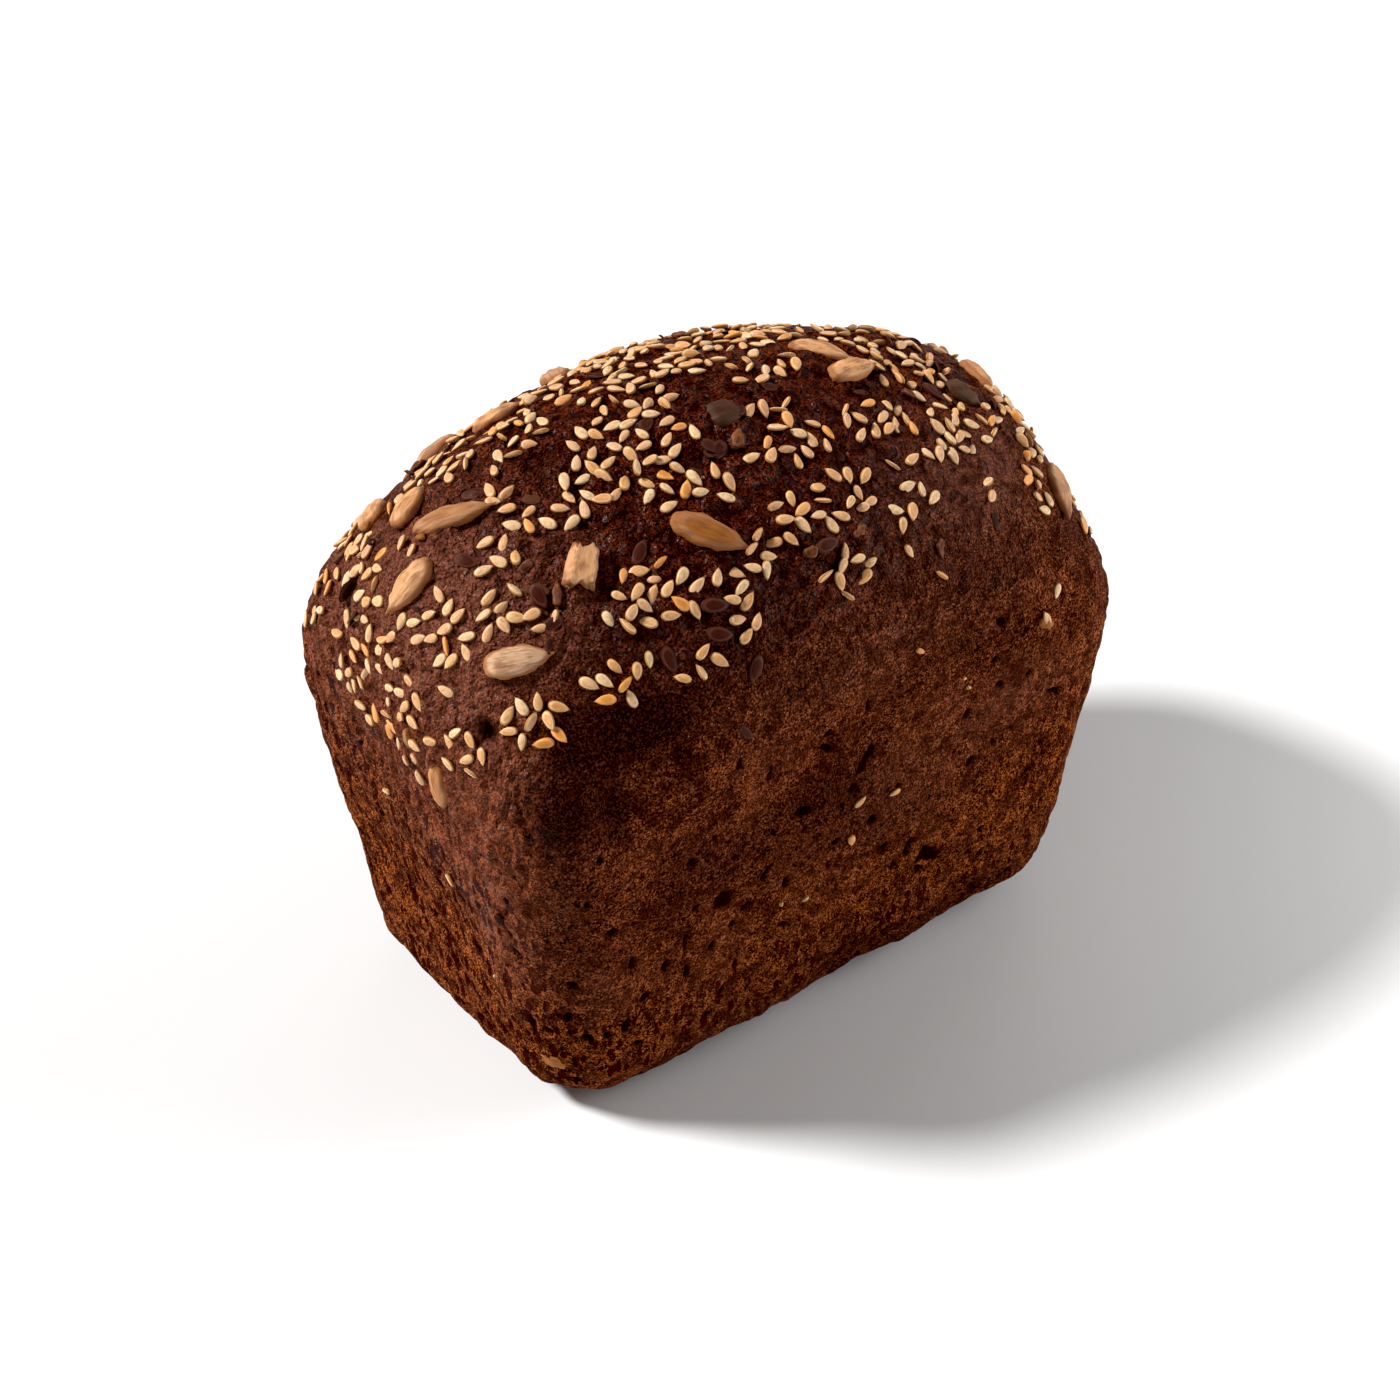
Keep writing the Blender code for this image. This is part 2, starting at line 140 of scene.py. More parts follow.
def stand(name: str, data: bpy.types.ID) -> bpy.types.Object:
    """Put a mesh, a light or a camera into the scene.

    Args:
        name: What the object is called.
        data: The mesh, light or camera.

    Returns:
        The object.
    """
    thing = bpy.data.objects.new(name, data)
    bpy.context.scene.collection.objects.link(thing)
    return thing


def settled(host: bpy.types.Object, name: str) -> bpy.types.Object:
    """Swap an object for the plain mesh that its modifiers make of it.

    Args:
        host: The object, which is removed.
        name: What the plain one is called.

    Returns:
        The plain object.
    """
    bpy.context.view_layer.update()
    evaluated = host.evaluated_get(bpy.context.evaluated_depsgraph_get())
    mesh = bpy.data.meshes.new_from_object(evaluated)
    host.modifiers.clear()
    bpy.data.objects.remove(host, do_unlink=True)
    mesh.name = name
    mesh.shade_smooth()
    return stand(name, mesh)


# ------------------------------------------------------------------ the loaf's form


@dataclass(frozen=True)
class LoafForm:
    """The loaf's form, the same as the solid's: a tapered box under a crown. Metres."""

    base_half: tuple[float, float] = (53.5 * MM, 32.5 * MM)
    rim_half: tuple[float, float] = (60.5 * MM, 38.5 * MM)
    rim_height: float = 69.0 * MM
    base_corner: float = 16.5 * MM
    rim_corner: float = 12.5 * MM
    base_round: float = 13.0 * MM
    shoulder_round: float = 13.0 * MM
    crest: tuple[float, float] = (-2.0 * MM, 1.5 * MM)
    crown_top: float = 109.0 * MM
    crown_slope: float = 0.8
    end_fall: float = 25.0 * MM
    end_power: float = 1.9
    side_fall: float = 24.0 * MM
    side_power: float = 1.75
    heart: Place = (0.0, 0.0, 38.0 * MM)
    cast_reach: float = 120.0 * MM
    cast_steps: int = 34
    normal_step: float = 0.05 * MM
    lump_wave: float = 17.0 * MM
    lump_height: float = 0.9 * MM
    relief_fade: float = 8.0 * MM
    # Broad swells of the crown: x, y, reach and height (mm).
    swells: Rows = ((4, 6, 25, -3.0), (-40, 8, 18, 1.2), (38, 6, 18, -1.1))
    # The large lumps and hollows that the solid has too: spots, with heights in mm.
    features: Rows = (
        (-51, -34, 69, 7, 6, 6, 1.5), (-44, -37, 66, 2.5, 4, 6, -1.4), (28, -33, 7, 6, 4, 4, -2.4),
        (0, -33, 8, 3, 4, 4, -1.5), (3, -38, 61, 3, 4, 8, -1.0), (30, -38, 52, 12, 6, 9, -0.8),
        (-58, 8, 30, 6, 10, 8, -0.7), (57, -14, 38, 6, 8, 9, -1.0), (-22, 37, 44, 12, 5, 8, -1.0),
        (34, 36, 10, 7, 4, 4, -1.8),
    )

    def crown_height(self, x: np.ndarray, y: np.ndarray) -> np.ndarray:
        """Find the height of the crown's curve over places on the plan.

        Args:
            x: Places along the loaf.
            y: Places across it.

        Returns:
            The heights.
        """
        end = self.end_fall * np.abs((x - self.crest[0]) / self.rim_half[0]) ** self.end_power
        side = self.side_fall * np.abs((y - self.crest[1]) / self.rim_half[1]) ** self.side_power
        height = self.crown_top - end - side
        for swell in self.swells:
            at_x, at_y, reach, rise = (number * MM for number in swell)
            height = height + rise * np.exp(-((x - at_x) ** 2 + (y - at_y) ** 2) / reach**2)
        return height

    def measure(self, points: np.ndarray) -> np.ndarray:
        """Tell how far points lie outside the plain form.

        Args:
            points: Points, one a row.

        Returns:
            The measures, negative inside.
        """
        x, y, z = points[..., 0], points[..., 1], points[..., 2]
        rise = np.clip(z / self.rim_height, 0.0, 1.0)
        half_x, half_y = (base + (rim - base) * rise
                          for base, rim in zip(self.base_half, self.rim_half))
        corner = self.base_corner + (self.rim_corner - self.base_corner) * rise
        over_x, over_y = np.abs(x) - (half_x - corner), np.abs(y) - (half_y - corner)
        outside = np.hypot(np.maximum(over_x, 0.0), np.maximum(over_y, 0.0))
        wall = outside + np.minimum(np.maximum(over_x, over_y), 0.0) - corner
        dome = (z - self.crown_height(x, y)) * self.crown_slope
        return smooth_max(smooth_max(wall, dome, self.shoulder_round), -z, self.base_round)

    def cast(self, aims: np.ndarray) -> np.ndarray:
        """Find the plain form's points on the rays from its heart.

        Args:
            aims: Points that the rays go through, one a row.

        Returns:
            The points on the form.
        """
        ways = unit_rows(aims - self.heart)
        near, far = np.zeros(len(ways)), np.full(len(ways), self.cast_reach)
        for _ in range(self.cast_steps):
            middle = (near + far) / 2
            inside = self.measure(self.heart + ways * middle[:, None]) < 0
            near, far = np.where(inside, middle, near), np.where(inside, far, middle)
        return self.heart + ways * near[:, None]

    def normals(self, points: np.ndarray) -> np.ndarray:
        """Find the plain form's outward normals at points on it, one a row."""
        return unit_rows(np.stack([self.measure(points + step) - self.measure(points - step)
                                   for step in np.eye(3) * self.normal_step], axis=-1))

    def relief(self, points: np.ndarray) -> np.ndarray:
        """Find the height of the slow lumps and hollows that the solid has too.

        Args:
            points: Points on the plain form, one a row.

        Returns:
            Heights along the normals, none under the base.
        """
        lumps = noise_at(points, self.lump_wave) * self.lump_height
        return (lumps + spots_at(points, self.features, MM)) * np.clip(
            points[:, 2] / self.relief_fade, 0.0, 1.0)

    def crust_points(self, aims: object) -> np.ndarray:
        """Find the uneven crust's points near places in millimetres, one a row."""
        plain = self.cast(np.array(aims, float) * MM)
        return plain + self.normals(plain) * self.relief(plain)[:, None]


# ------------------------------------------------------------------ node building


class Nodes:
    """A node tree under construction, with one short call for any node."""

    def __init__(self, tree: bpy.types.NodeTree) -> None:
        """Take the tree to build in."""
        self.tree = tree

    def feed(self, socket: Socket, source: object) -> None:
        """Feed a socket.

        Args:
            socket: The socket.
            source: Another socket, a value, or None to leave it alone.
        """
        if isinstance(source, Socket):
            self.tree.links.new(source, socket)
        elif source is not None:
            socket.default_value = source

    def node(self, kind: str, feeds: dict[object, object], **settings: object) -> bpy.types.Node:
        """Add a node.

        Args:
            kind: Blender's name for it.
            feeds: What goes into its inputs, by name or number.
            settings: Its own settings.

        Returns:
            The node.
        """
        node = self.tree.nodes.new(kind)
        for key, value in settings.items():
            setattr(node, key, value)
        for key, source in feeds.items():
            self.feed(node.inputs[key], source)
        return node

    def math(self, operation: str, a: object, b: object = 0.0) -> Socket:
        """Work out a sum on one or two numbers, each a socket or a value."""
        return self.node("ShaderNodeMath", {0: a, 1: b}, operation=operation).outputs[0]

    def times(self, a: object, b: object) -> Socket:
        """Multiply two numbers."""
        return self.math("MULTIPLY", a, b)

    def plus(self, a: object, b: object) -> Socket:
        """Add two numbers."""
        return self.math("ADD", a, b)

    def less(self, a: object, b: object) -> Socket:
        """Take the second number from the first."""
        return self.math("SUBTRACT", a, b)

    def most(self, a: object, b: object) -> Socket:
        """Take the larger of two numbers."""
        return self.math("MAXIMUM", a, b)

    def joined(self, x: object, y: object, z: object) -> Socket:
        """Join three numbers into a place."""
        return self.node("ShaderNodeCombineXYZ", {0: x, 1: y, 2: z}).outputs[0]

    def parted(self, place: Socket) -> tuple[Socket, Socket, Socket]:
        """Part a place into its three numbers."""
        return tuple(self.node("ShaderNodeSeparateXYZ", {0: place}).outputs)


class Shading(Nodes):
    """A node material under construction, with short calls for what the finishes share."""

    def __init__(self, name: str) -> None:
        """Start a material.

        Args:
            name: What it is called.
        """
        self.material = bpy.data.materials.new(name)
        self.material.use_nodes = True
        super().__init__(self.material.node_tree)
        self.places = self.node("ShaderNodeTexCoord", {}).outputs["Object"]

    def stored(self, *names: str) -> list[Socket]:
        """Read numbers that are stored on the mesh."""
        return [self.node("ShaderNodeAttribute", {}, attribute_name=name).outputs["Fac"]
                for name in names]

    def noise(self, wave: float, detail: float, roughness: float,
              places: Socket | None = None) -> Socket:
        """Add noise.

        Args:
            wave: The length of its lumps.
            detail: How many finer layers it has.
            roughness: How strong they are.
            places: Where it is read, if not at the object's own places.

        Returns:
            The noise, from 0 to 1.
        """
        return self.node("ShaderNodeTexNoise", {
            "Vector": places or self.places, "Scale": 1.0 / wave, "Detail": detail,
            "Roughness": roughness}).outputs["Fac"]

    def cells(self, wave: float, tall: float) -> tuple[Socket, Socket]:
        """Add cells round scattered points.

        Args:
            wave: The mean distance between the points.
            tall: How much taller than wide the cells are.

        Returns:
            The distance to the nearest point, and a tone of its cell's own, from 0 to 1.
        """
        places = self.node("ShaderNodeMapping", {"Vector": self.places,
                                                 "Scale": (1.0, 1.0, 1.0 / tall)}).outputs[0]
        cell = self.node("ShaderNodeTexVoronoi", {"Vector": places, "Scale": 1.0 / wave}).outputs
        tone = self.node("ShaderNodeSeparateColor", {"Color": cell["Color"]}).outputs["Red"]
        return cell["Distance"], tone

    def between(self, value: object, low: float, high: float, to_low: float = 0.0,
                to_high: float = 1.0) -> Socket:
        """Map a band of a value's range smoothly onto another, level below and above it.

        Args:
            value: The value, a socket or a number.
            low: Where its band starts.
            high: Where the band ends.
            to_low: What the start becomes.
            to_high: What the end becomes.

        Returns:
            The mapped value.
        """
        return self.node("ShaderNodeMapRange", {
            "Value": value, "From Min": low, "From Max": high, "To Min": to_low,
            "To Max": to_high}, interpolation_type="SMOOTHSTEP").outputs["Result"]

    def both(self, a: object, a_band: Row, b: object, b_band: Row) -> Socket:
        """Multiply the bands of two values."""
        return self.times(self.between(a, *a_band), self.between(b, *b_band))

    def swing(self, value: Socket, reach: float) -> Socket:
        """Turn noise from 0 to 1 into a swing to both sides of 0."""
        return self.times(self.less(value, 0.5), reach)

    def mix(self, share: object, a: object, b: object) -> Socket:
        """Blend two colours, each a socket or a colour, by the share of the second."""
        a, b = ((*part, 1.0) if isinstance(part, tuple) else part for part in (a, b))
        return self.node("ShaderNodeMix", {0: share, 6: a, 7: b}, data_type="RGBA").outputs[2]

    def layer(self, under: object, over: object, value: object, band: Row) -> Socket:
        """Lay a colour over another where a value is in its band."""
        return self.mix(self.between(value, *band), under, over)

    def bump(self, height: object, depth: float, over: Socket | None = None,
             strength: float = 1.0) -> Socket:
        """Turn a height into a bumped normal.

        Args:
            height: The height, a socket or a number.
            depth: What a height of 1 stands for, in metres.
            over: An earlier bump that this one lies on.
            strength: How much of the bump shows.

        Returns:
            The bumped normal.
        """
        return self.node("ShaderNodeBump", {"Height": height, "Distance": depth,
                                            "Strength": strength, "Normal": over}).outputs[0]

    def finish(self, feeds: dict[str, object]) -> bpy.types.Material:
        """Feed the shader and hand the material over.

        Args:
            feeds: What goes into the shader's inputs, by name.

        Returns:
            The finished material.
        """
        for name, source in feeds.items():
            self.feed(self.tree.nodes["Principled BSDF"].inputs[name],
                      (*source, 1.0) if isinstance(source, tuple) else source)
        return self.material


# ------------------------------------------------------------------ finishes


@dataclass(frozen=True)
class CrustFinish:
    """Baked crust: sandy brown walls, a dark grainy top, near-black patches, and painted light and
    shade.

    A noise is its wave, its finer layers and their strength; cells are their wave and how tall
    they are. A band is where an effect starts and ends on its pattern and, unless it rises from
    0 to 1, what it is at the start and at the end.
    """

    wall_dark: Colour = (0.024, 0.0020, 0.0007)
    wall_mid: Colour = (0.166, 0.0350, 0.0105)
    wall_light: Colour = (0.340, 0.1180, 0.0520)
    # Warmer, lighter colours of the warm patches, which are partly painted light.
    wall_warm_and_lit: Colour = (0.310, 0.0660, 0.0090)
    warm_and_lit_pale: Colour = (0.520, 0.1700, 0.0500)
    wall_fleck: Colour = (0.620, 0.3600, 0.2100)
    # Mauve plum colours, partly a painted sheen where the plum patches lie.
    plum_dark: Colour = (0.024, 0.0028, 0.0013)
    plum_sheen_mid: Colour = (0.145, 0.0380, 0.0180)
    plum_sheen_light: Colour = (0.260, 0.0920, 0.0580)
    skin_mid: Colour = (0.162, 0.0350, 0.0125)
    skin_light: Colour = (0.310, 0.0920, 0.0420)
    top_dark: Colour = (0.011, 0.0004, 0.0002)
    top_mid: Colour = (0.100, 0.0120, 0.0035)
    # The top crust's warmer, lighter colour in the warm patches: partly painted light.
    top_warm_and_lit: Colour = (0.200, 0.0340, 0.0060)
    # Painted highlight colour for the tops of the grain domes on the top crust.
    top_highlight: Colour = (0.250, 0.0640, 0.0260)
    # Dark colour of the slits pressed into the ends: painted shade.
    slit_dark: Colour = (0.036, 0.0014, 0.0003)
    # Near-black colour in the pores' hearts: painted shade in the hollows.
    pore: Colour = (0.010, 0.0008, 0.0003)
    # The char colour, laid both as real char and as painted shade.
    char_and_shade: Colour = (0.013, 0.0016, 0.0010)
    char_light: Colour = (0.075, 0.0190, 0.0110)
    glaze: Colour = (1.0, 0.85, 0.72)

    grain: Row = (0.36 * MM, 1.4, 0.7)
    crumb: Row = (1.35 * MM, 1.0, 0.5)
    mottle: Row = (2.6 * MM, 3.0, 0.62)
    patch: Row = (13.0 * MM, 2.0, 0.5)
    granule: Row = (0.52 * MM, 1.0)
    slit: Row = (1.3 * MM, 2.2)

    fine: Row = (0.42, 0.53)
    coarse: Row = (0.54, 0.64, 0.0, 0.85)
    peak: Row = (0.10, 0.60, 1.0, 0.0)
    fleck_size: Row = (0.14, 0.24, 1.0, 0.0)
    fleck_few: Row = (0.80, 0.84)
    fleck_drift: Row = (0.44, 0.60)
    fleck_wall: float = 0.85
    # On the top crust the flecks are painted glints.
    top_glint: float = 0.6
    warm_drift: Row = (0.40, 0.60, 0.4, 1.0)
    warm_stray: Row = (0.54, 0.66, 0.0, 0.7)
    # The walls' grain tops lighter: partly real pale grains, partly painted highlight.
    wall_peaks: Row = (0.45, 0.95, 0.0, 0.5)
    # The crumb's hollows, the low ground between its lumps, darkened: painted shade.
    wall_hollows: Row = (0.36, 0.50, 0.55, 0.0)
    hollows_warm: Row = (0.0, 1.0, 1.0, 0.6)
    gloom: Row = (0.50, 0.66, 0.0, 0.5)
    gloom_cool: Row = (0.2, 0.8, 1.0, 0.0)
    wall_mottle: Row = (0.38, 0.54, 0.7, 0.0)
    haze_grain: Row = (0.40, 0.64)
    # Above this height the haze takes the plum colours of the painted sheen, below it the skin
    # colours.
    haze_height: Row = (60 * MM, 82 * MM)
    # Darker in the hollows of the crumb and, on the top, of the mottle: painted shade.
    haze_hollows: Row = (0.34, 0.50, 0.35, 0.0)
    haze_mottle: Row = (0.34, 0.54, 0.50, 0.0)
    bloom_patch: Row = (0.36, 0.58, 0.30, 0.0)
    bloom_crumb: Row = (0.30, 0.62, 0.55, 1.0)
    uneven_mottle: float = 1.4
    uneven_crumb: float = 0.9
    sponge_rag: float = 1.1
    sponge: Row = (0.20, 0.75)
    slit_rag: float = 0.6
    slit_vary: float = 0.72
    slit_heart: Row = (-0.10, 0.0, 0.95, 0.0)
    # Painted highlights on the top crust's grain tops.
    top_peak_highlights: Row = (0.30, 0.85, 0.0, 0.8)
    # Darker in the hollows of the crumb and of the mottle, between the top's lumps: painted shade.
    top_hollows: Row = (0.36, 0.52, 0.75, 0.0)
    top_mottle: Row = (0.38, 0.54, 0.65, 0.0)
    top_plum_and_sheen: float = 0.9
    char_rag: Row = (0.0, 0.35, 0.0, 1.5)
    char_grain: Row = (0.48, 0.66)
    # Where the char patches lay the char colour: real char, and painted shade on the long side.
    soot_and_shade: Row = (0.25, 0.80, 0.0, 0.94)
    pore_rag: float = 0.9
    # The pores darken towards their hearts: painted shade.
    pore_rim: Row = (0.12, 0.50, 0.0, 0.6)
    pore_heart: Row = (0.34, 0.80, 0.0, 0.9)

    sand_depth: float = 0.24 * MM
    sand_bloom: Row = (0.2, 1.0, 1.0, 0.45)
    granule_depth: float = 0.30 * MM
    granule_strength: float = 0.9
    granule_dome: Row = (0.0, 0.7, 1.0, 0.0)
    swell_depth: float = 0.9 * MM
    swell_floor: float = 0.36
    swell_top: Row = (0.0, 1.0, 1.0, 1.7)
    swell_mottle: float = 1.1
    slit_depth: float = 0.35 * MM
    glaze_depth: float = 0.07 * MM
    roughness: Row = (0.0, 1.0, 0.85, 0.6)
    matt_level: float = 0.01
    glaze_roughness: float = 0.27
    gloss: float = 0.12
    gloss_char: Row = (0.0, 1.0, 1.0, 0.6)
    gloss_mottle: Row = (0.35, 0.65, 0.2, 1.6)

    def material(self) -> bpy.types.Material:
        """Build the material.

        Returns:
            The crust's material.
        """
        s = Shading("baked_crust")
        grain, crumb = s.noise(*self.grain), s.noise(*self.crumb)
        mottle, patch = s.noise(*self.mottle), s.noise(*self.patch)
        granule, own_tone = s.cells(*self.granule)
        slit, slit_tone = s.cells(*self.slit)
        top, char_and_shade, plum_and_sheen, pit, warm_and_lit, sponge = s.stored(
            "top", "char_and_shade", "plum_and_sheen", "pit", "warm_and_lit", "sponge")
        fine = s.between(grain, *self.fine)
        # The tops of the grain domes, lightened further down: painted highlights.
        peak = s.times(s.between(granule, *self.peak), own_tone)
        # Pale flecks on the walls, and painted glints on the top crust.
        fleck_and_glint = s.times(s.both(granule, self.fleck_size, own_tone, self.fleck_few),
                        s.between(mottle, *self.fleck_drift))
        uneven = s.plus(s.swing(mottle, self.uneven_mottle), s.swing(crumb, self.uneven_crumb))
        # The warm patches, partly painted light, broken up by the mottle, and stray warm patches of
        # mottle alone.
        tinge_and_light = s.most(s.times(warm_and_lit, s.between(mottle, *self.warm_drift)),
                       s.between(mottle, *self.warm_stray))

        light = s.mix(tinge_and_light, self.wall_light, self.warm_and_lit_pale)
        wall = s.mix(fine, self.wall_dark, s.mix(tinge_and_light, self.wall_mid, self.wall_warm_and_lit))
        wall = s.layer(wall, light, grain, self.coarse)
        # Lighter grain tops on the walls: partly painted highlight.
        wall = s.layer(wall, light, peak, self.wall_peaks)
        # Darker in the crumb's hollows (painted shade), in broad patches away from the warm ones,
        # and in the mottle.
        for share in (s.both(crumb, self.wall_hollows, warm_and_lit, self.hollows_warm),
                      s.both(patch, self.gloom, warm_and_lit, self.gloom_cool),
                      s.between(mottle, *self.wall_mottle)):
            wall = s.mix(share, wall, self.wall_dark)

        # The haze laid over the plum patches and the smooth patches: plum colours, partly painted
        # sheen, on the top and above the shoulder, skin colours below.
        ground = s.between(grain, *self.haze_grain)
        haze_and_sheen = s.mix(s.most(top, s.between(s.parted(s.places)[2], *self.haze_height)),
                     s.mix(ground, self.skin_mid, self.skin_light),
                     s.mix(ground, self.plum_sheen_mid, self.plum_sheen_light))
        # Darker in the hollows: painted shade.
        haze_and_sheen = s.layer(haze_and_sheen, self.plum_dark, crumb, self.haze_hollows)
        haze_and_sheen = s.layer(haze_and_sheen, self.plum_dark, mottle, self.haze_mottle)
        bloom_and_sheen = s.most(plum_and_sheen, s.between(patch, *self.bloom_patch))
        wall = s.mix(s.times(bloom_and_sheen, s.between(crumb, *self.bloom_crumb)), wall, haze_and_sheen)
        # The slits, pressed in by the bump below and darkened: painted shade.
        slit = s.less(s.plus(slit, s.swing(grain, self.slit_rag)),
                      s.times(slit_tone, self.slit_vary))
        holes = s.both(s.plus(sponge, s.times(uneven, self.sponge_rag)), self.sponge,
                       slit, self.slit_heart)
        wall = s.mix(holes, wall, self.slit_dark)
        wall = s.mix(s.times(fleck_and_glint, self.fleck_wall), wall, self.wall_fleck)

        crown = s.mix(fine, self.top_dark, s.mix(tinge_and_light, self.top_mid, self.top_warm_and_lit))
        # Painted highlights on the tops of the grain domes of the top crust.
        crown = s.layer(crown, self.top_highlight, peak, self.top_peak_highlights)
        # Darker in the hollows between the lumps: painted shade.
        crown = s.layer(crown, self.top_dark, crumb, self.top_hollows)
        crown = s.layer(crown, self.top_dark, mottle, self.top_mottle)
        # The plum patches lay the haze on the top crust too: partly painted sheen.
        crown = s.mix(s.times(plum_and_sheen, self.top_plum_and_sheen), crown, haze_and_sheen)
        # Painted glints: small mauve flecks on the top crust.
        crown = s.mix(s.times(fleck_and_glint, self.top_glint), crown, self.plum_sheen_light)

        # Char and painted shade: the char patches turn the crust near-black, ragged at their edges.
        charred_and_shaded = s.plus(char_and_shade, s.times(uneven, s.between(char_and_shade, *self.char_rag)))
        coal_and_shade = s.layer(self.char_and_shade, self.char_light, grain, self.char_grain)
        colour = s.layer(s.mix(top, wall, crown), coal_and_shade, charred_and_shaded, self.soot_and_shade)
        # The pores pressed into the crust, darkened inside: painted shade.
        ragged = s.plus(pit, s.swing(grain, self.pore_rag))
        colour = s.layer(colour, self.wall_dark, ragged, self.pore_rim)
        colour = s.layer(colour, self.pore, ragged, self.pore_heart)

        sand = s.bump(s.times(grain, s.between(bloom_and_sheen, *self.sand_bloom)), self.sand_depth)
        domes = s.bump(s.between(granule, *self.granule_dome), self.granule_depth, sand,
                       self.granule_strength)
        swell = s.times(s.most(crumb, self.swell_floor), s.between(top, *self.swell_top))
        swell = s.plus(swell, s.times(mottle, s.times(top, self.swell_mottle)))
        pocks = s.bump(swell, self.swell_depth, domes)
        sleek = s.bump(swell, self.swell_depth, s.bump(grain, self.glaze_depth))
        gloss = s.times(s.times(s.most(top, plum_and_sheen), self.gloss),
                        s.both(char_and_shade, self.gloss_char, mottle, self.gloss_mottle))
        return s.finish({
            "Base Color": colour, "Roughness": s.between(top, *self.roughness),
            "Normal": s.bump(s.less(1.0, holes), self.slit_depth, pocks),
            "Specular IOR Level": self.matt_level, "Coat Weight": gloss, "Coat Normal": sleek,
            "Coat Roughness": self.glaze_roughness, "Coat Tint": self.glaze})


@dataclass(frozen=True)
class SeedFinish:
    """A seed's skin, with a tone of its own for each seed, streaks, a rim, a panel, a tip and a
    painted shade along its edge.
    """

    name: str
    pale: Colour
    deep: Colour
    blush: Colour
    toasted: Colour
    tip: Colour
    edge: Colour
    blotch_and_edge_shade: Colour
    toasted_from: float = 0.86
    streak: float = 0.3
    blotch: float = 0.0
    rim: float = 0.3
    panel: float = 0.0
    cup: float = 0.0
    bake: float = 0.55
    roughness: float = 0.42
    bump_depth: float = 0.06 * MM
    level: float = 0.3
    gloss: Colour = (1.0, 0.92, 0.82)
    # Each seed's own numbers, drawn from its tone, and its two noises: how often they repeat
    # along it and across it, their finer layers and their strength.
    shift: float = 37.0
    second: float = 7.31
    third: float = 23.7
    streaks: Row = (1.4, 4.5, 3.0, 0.6)
    blotches: Row = (1.5, 1.3, 2.0, 0.6)
    # Bands, as the crust's.
    blush_few: Row = (0.25, 1.0, 0.0, 0.7)
    blotch_edge: Row = (0.46, 0.60)
    streak_edge: Row = (0.46, 0.66)
    tip_reach: Row = (0.62, 1.0, 0.0, 0.6)
    panel_reach: Row = (0.40, 0.72)
    panel_few: Row = (0.35, 0.75, 0.1, 1.0)
    rim_inner: Row = (0.58, 0.72)
    rim_outer: Row = (0.82, 0.92, 1.0, 0.0)
    # The outermost edge of a seed darkened: painted shade on its steep side.
    edge_shade_reach: Row = (0.80, 0.95, 0.0, 0.85)
    cup_few: Row = (0.955, 0.96)
    cup_reach: Row = (0.36, 0.56, 1.0, 0.0)
    toasted_over: float = 0.05
    bump_strength: float = 0.8
    rough_swing: float = 0.2

    def material(self) -> bpy.types.Material:
        """Build the material.

        Returns:
            The seed's material.
        """
        s = Shading(self.name)
        tone, along, side = s.stored("tone", "along", "side")
        shift = s.times(tone, self.shift)
        streaks, blotches = (
            s.noise(1.0, *layers, s.joined(s.times(along, long), s.times(side, wide), shift))
            for long, wide, *layers in (self.streaks, self.blotches))
        second, third = (
            s.math("FRACT", s.times(tone, part)) for part in (self.second, self.third))
        span = s.math("SQRT", s.plus(s.times(along, along), s.times(side, side)))

        colour = s.layer(self.pale, self.deep, tone, (0.0, self.toasted_from))
        colour = s.layer(colour, self.blush, second, self.blush_few)
        colour = s.layer(colour, self.blotch_and_edge_shade, blotches, (*self.blotch_edge, 0.0, self.blotch))
        colour = s.layer(colour, self.tip, streaks, (*self.streak_edge, 0.0, self.streak))
        colour = s.layer(colour, self.tip, along, self.tip_reach)
        colour = s.mix(s.both(span, (*self.panel_reach, self.panel, 0.0), third, self.panel_few),
                       colour, self.blush)
        colour = s.mix(s.both(span, (*self.rim_inner, 0.0, self.rim), span, self.rim_outer),
                       colour, self.edge)
        # Painted shade along the seed's steep edge.
        colour = s.layer(colour, self.blotch_and_edge_shade, span, self.edge_shade_reach)
        colour = s.mix(s.both(tone, (*self.cup_few, 0.0, self.cup), span, self.cup_reach),
                       colour, self.tip)
        colour = s.layer(colour, self.toasted, tone, (
            self.toasted_from, self.toasted_from + self.toasted_over, 0.0, self.bake))
        return s.finish({
            "Base Color": colour,
            "Roughness": s.plus(self.roughness - self.rough_swing / 2,
                                s.times(streaks, self.rough_swing)),
            "Normal": s.bump(streaks, self.bump_depth, strength=self.bump_strength),
            "Specular IOR Level": self.level, "Specular Tint": self.gloss})


SESAME_FINISH = SeedFinish(
    "sesame_skin", pale=(0.93, 0.66, 0.36), deep=(0.80, 0.39, 0.125), blush=(0.82, 0.42, 0.22),
    toasted=(0.92, 0.34, 0.050), tip=(0.38, 0.13, 0.028), edge=(0.98, 0.78, 0.50),
    blotch_and_edge_shade=(0.44, 0.18, 0.034), toasted_from=0.89, streak=0.4, blotch=0.35, rim=0.35,
    panel=0.4, cup=0.85, level=0.3)
KERNEL_FINISH = SeedFinish(
    "sunflower_skin", pale=(0.70, 0.43, 0.26), deep=(0.36, 0.115, 0.015), blush=(0.84, 0.39, 0.14),
    toasted=(0.035, 0.011, 0.006), tip=(0.20, 0.070, 0.026), edge=(0.70, 0.44, 0.27),
    blotch_and_edge_shade=(0.34, 0.120, 0.036), toasted_from=0.88, streak=0.6, blotch=0.45, rim=0.15, bake=0.9,
    roughness=0.58, bump_depth=0.3 * MM, level=0.2)
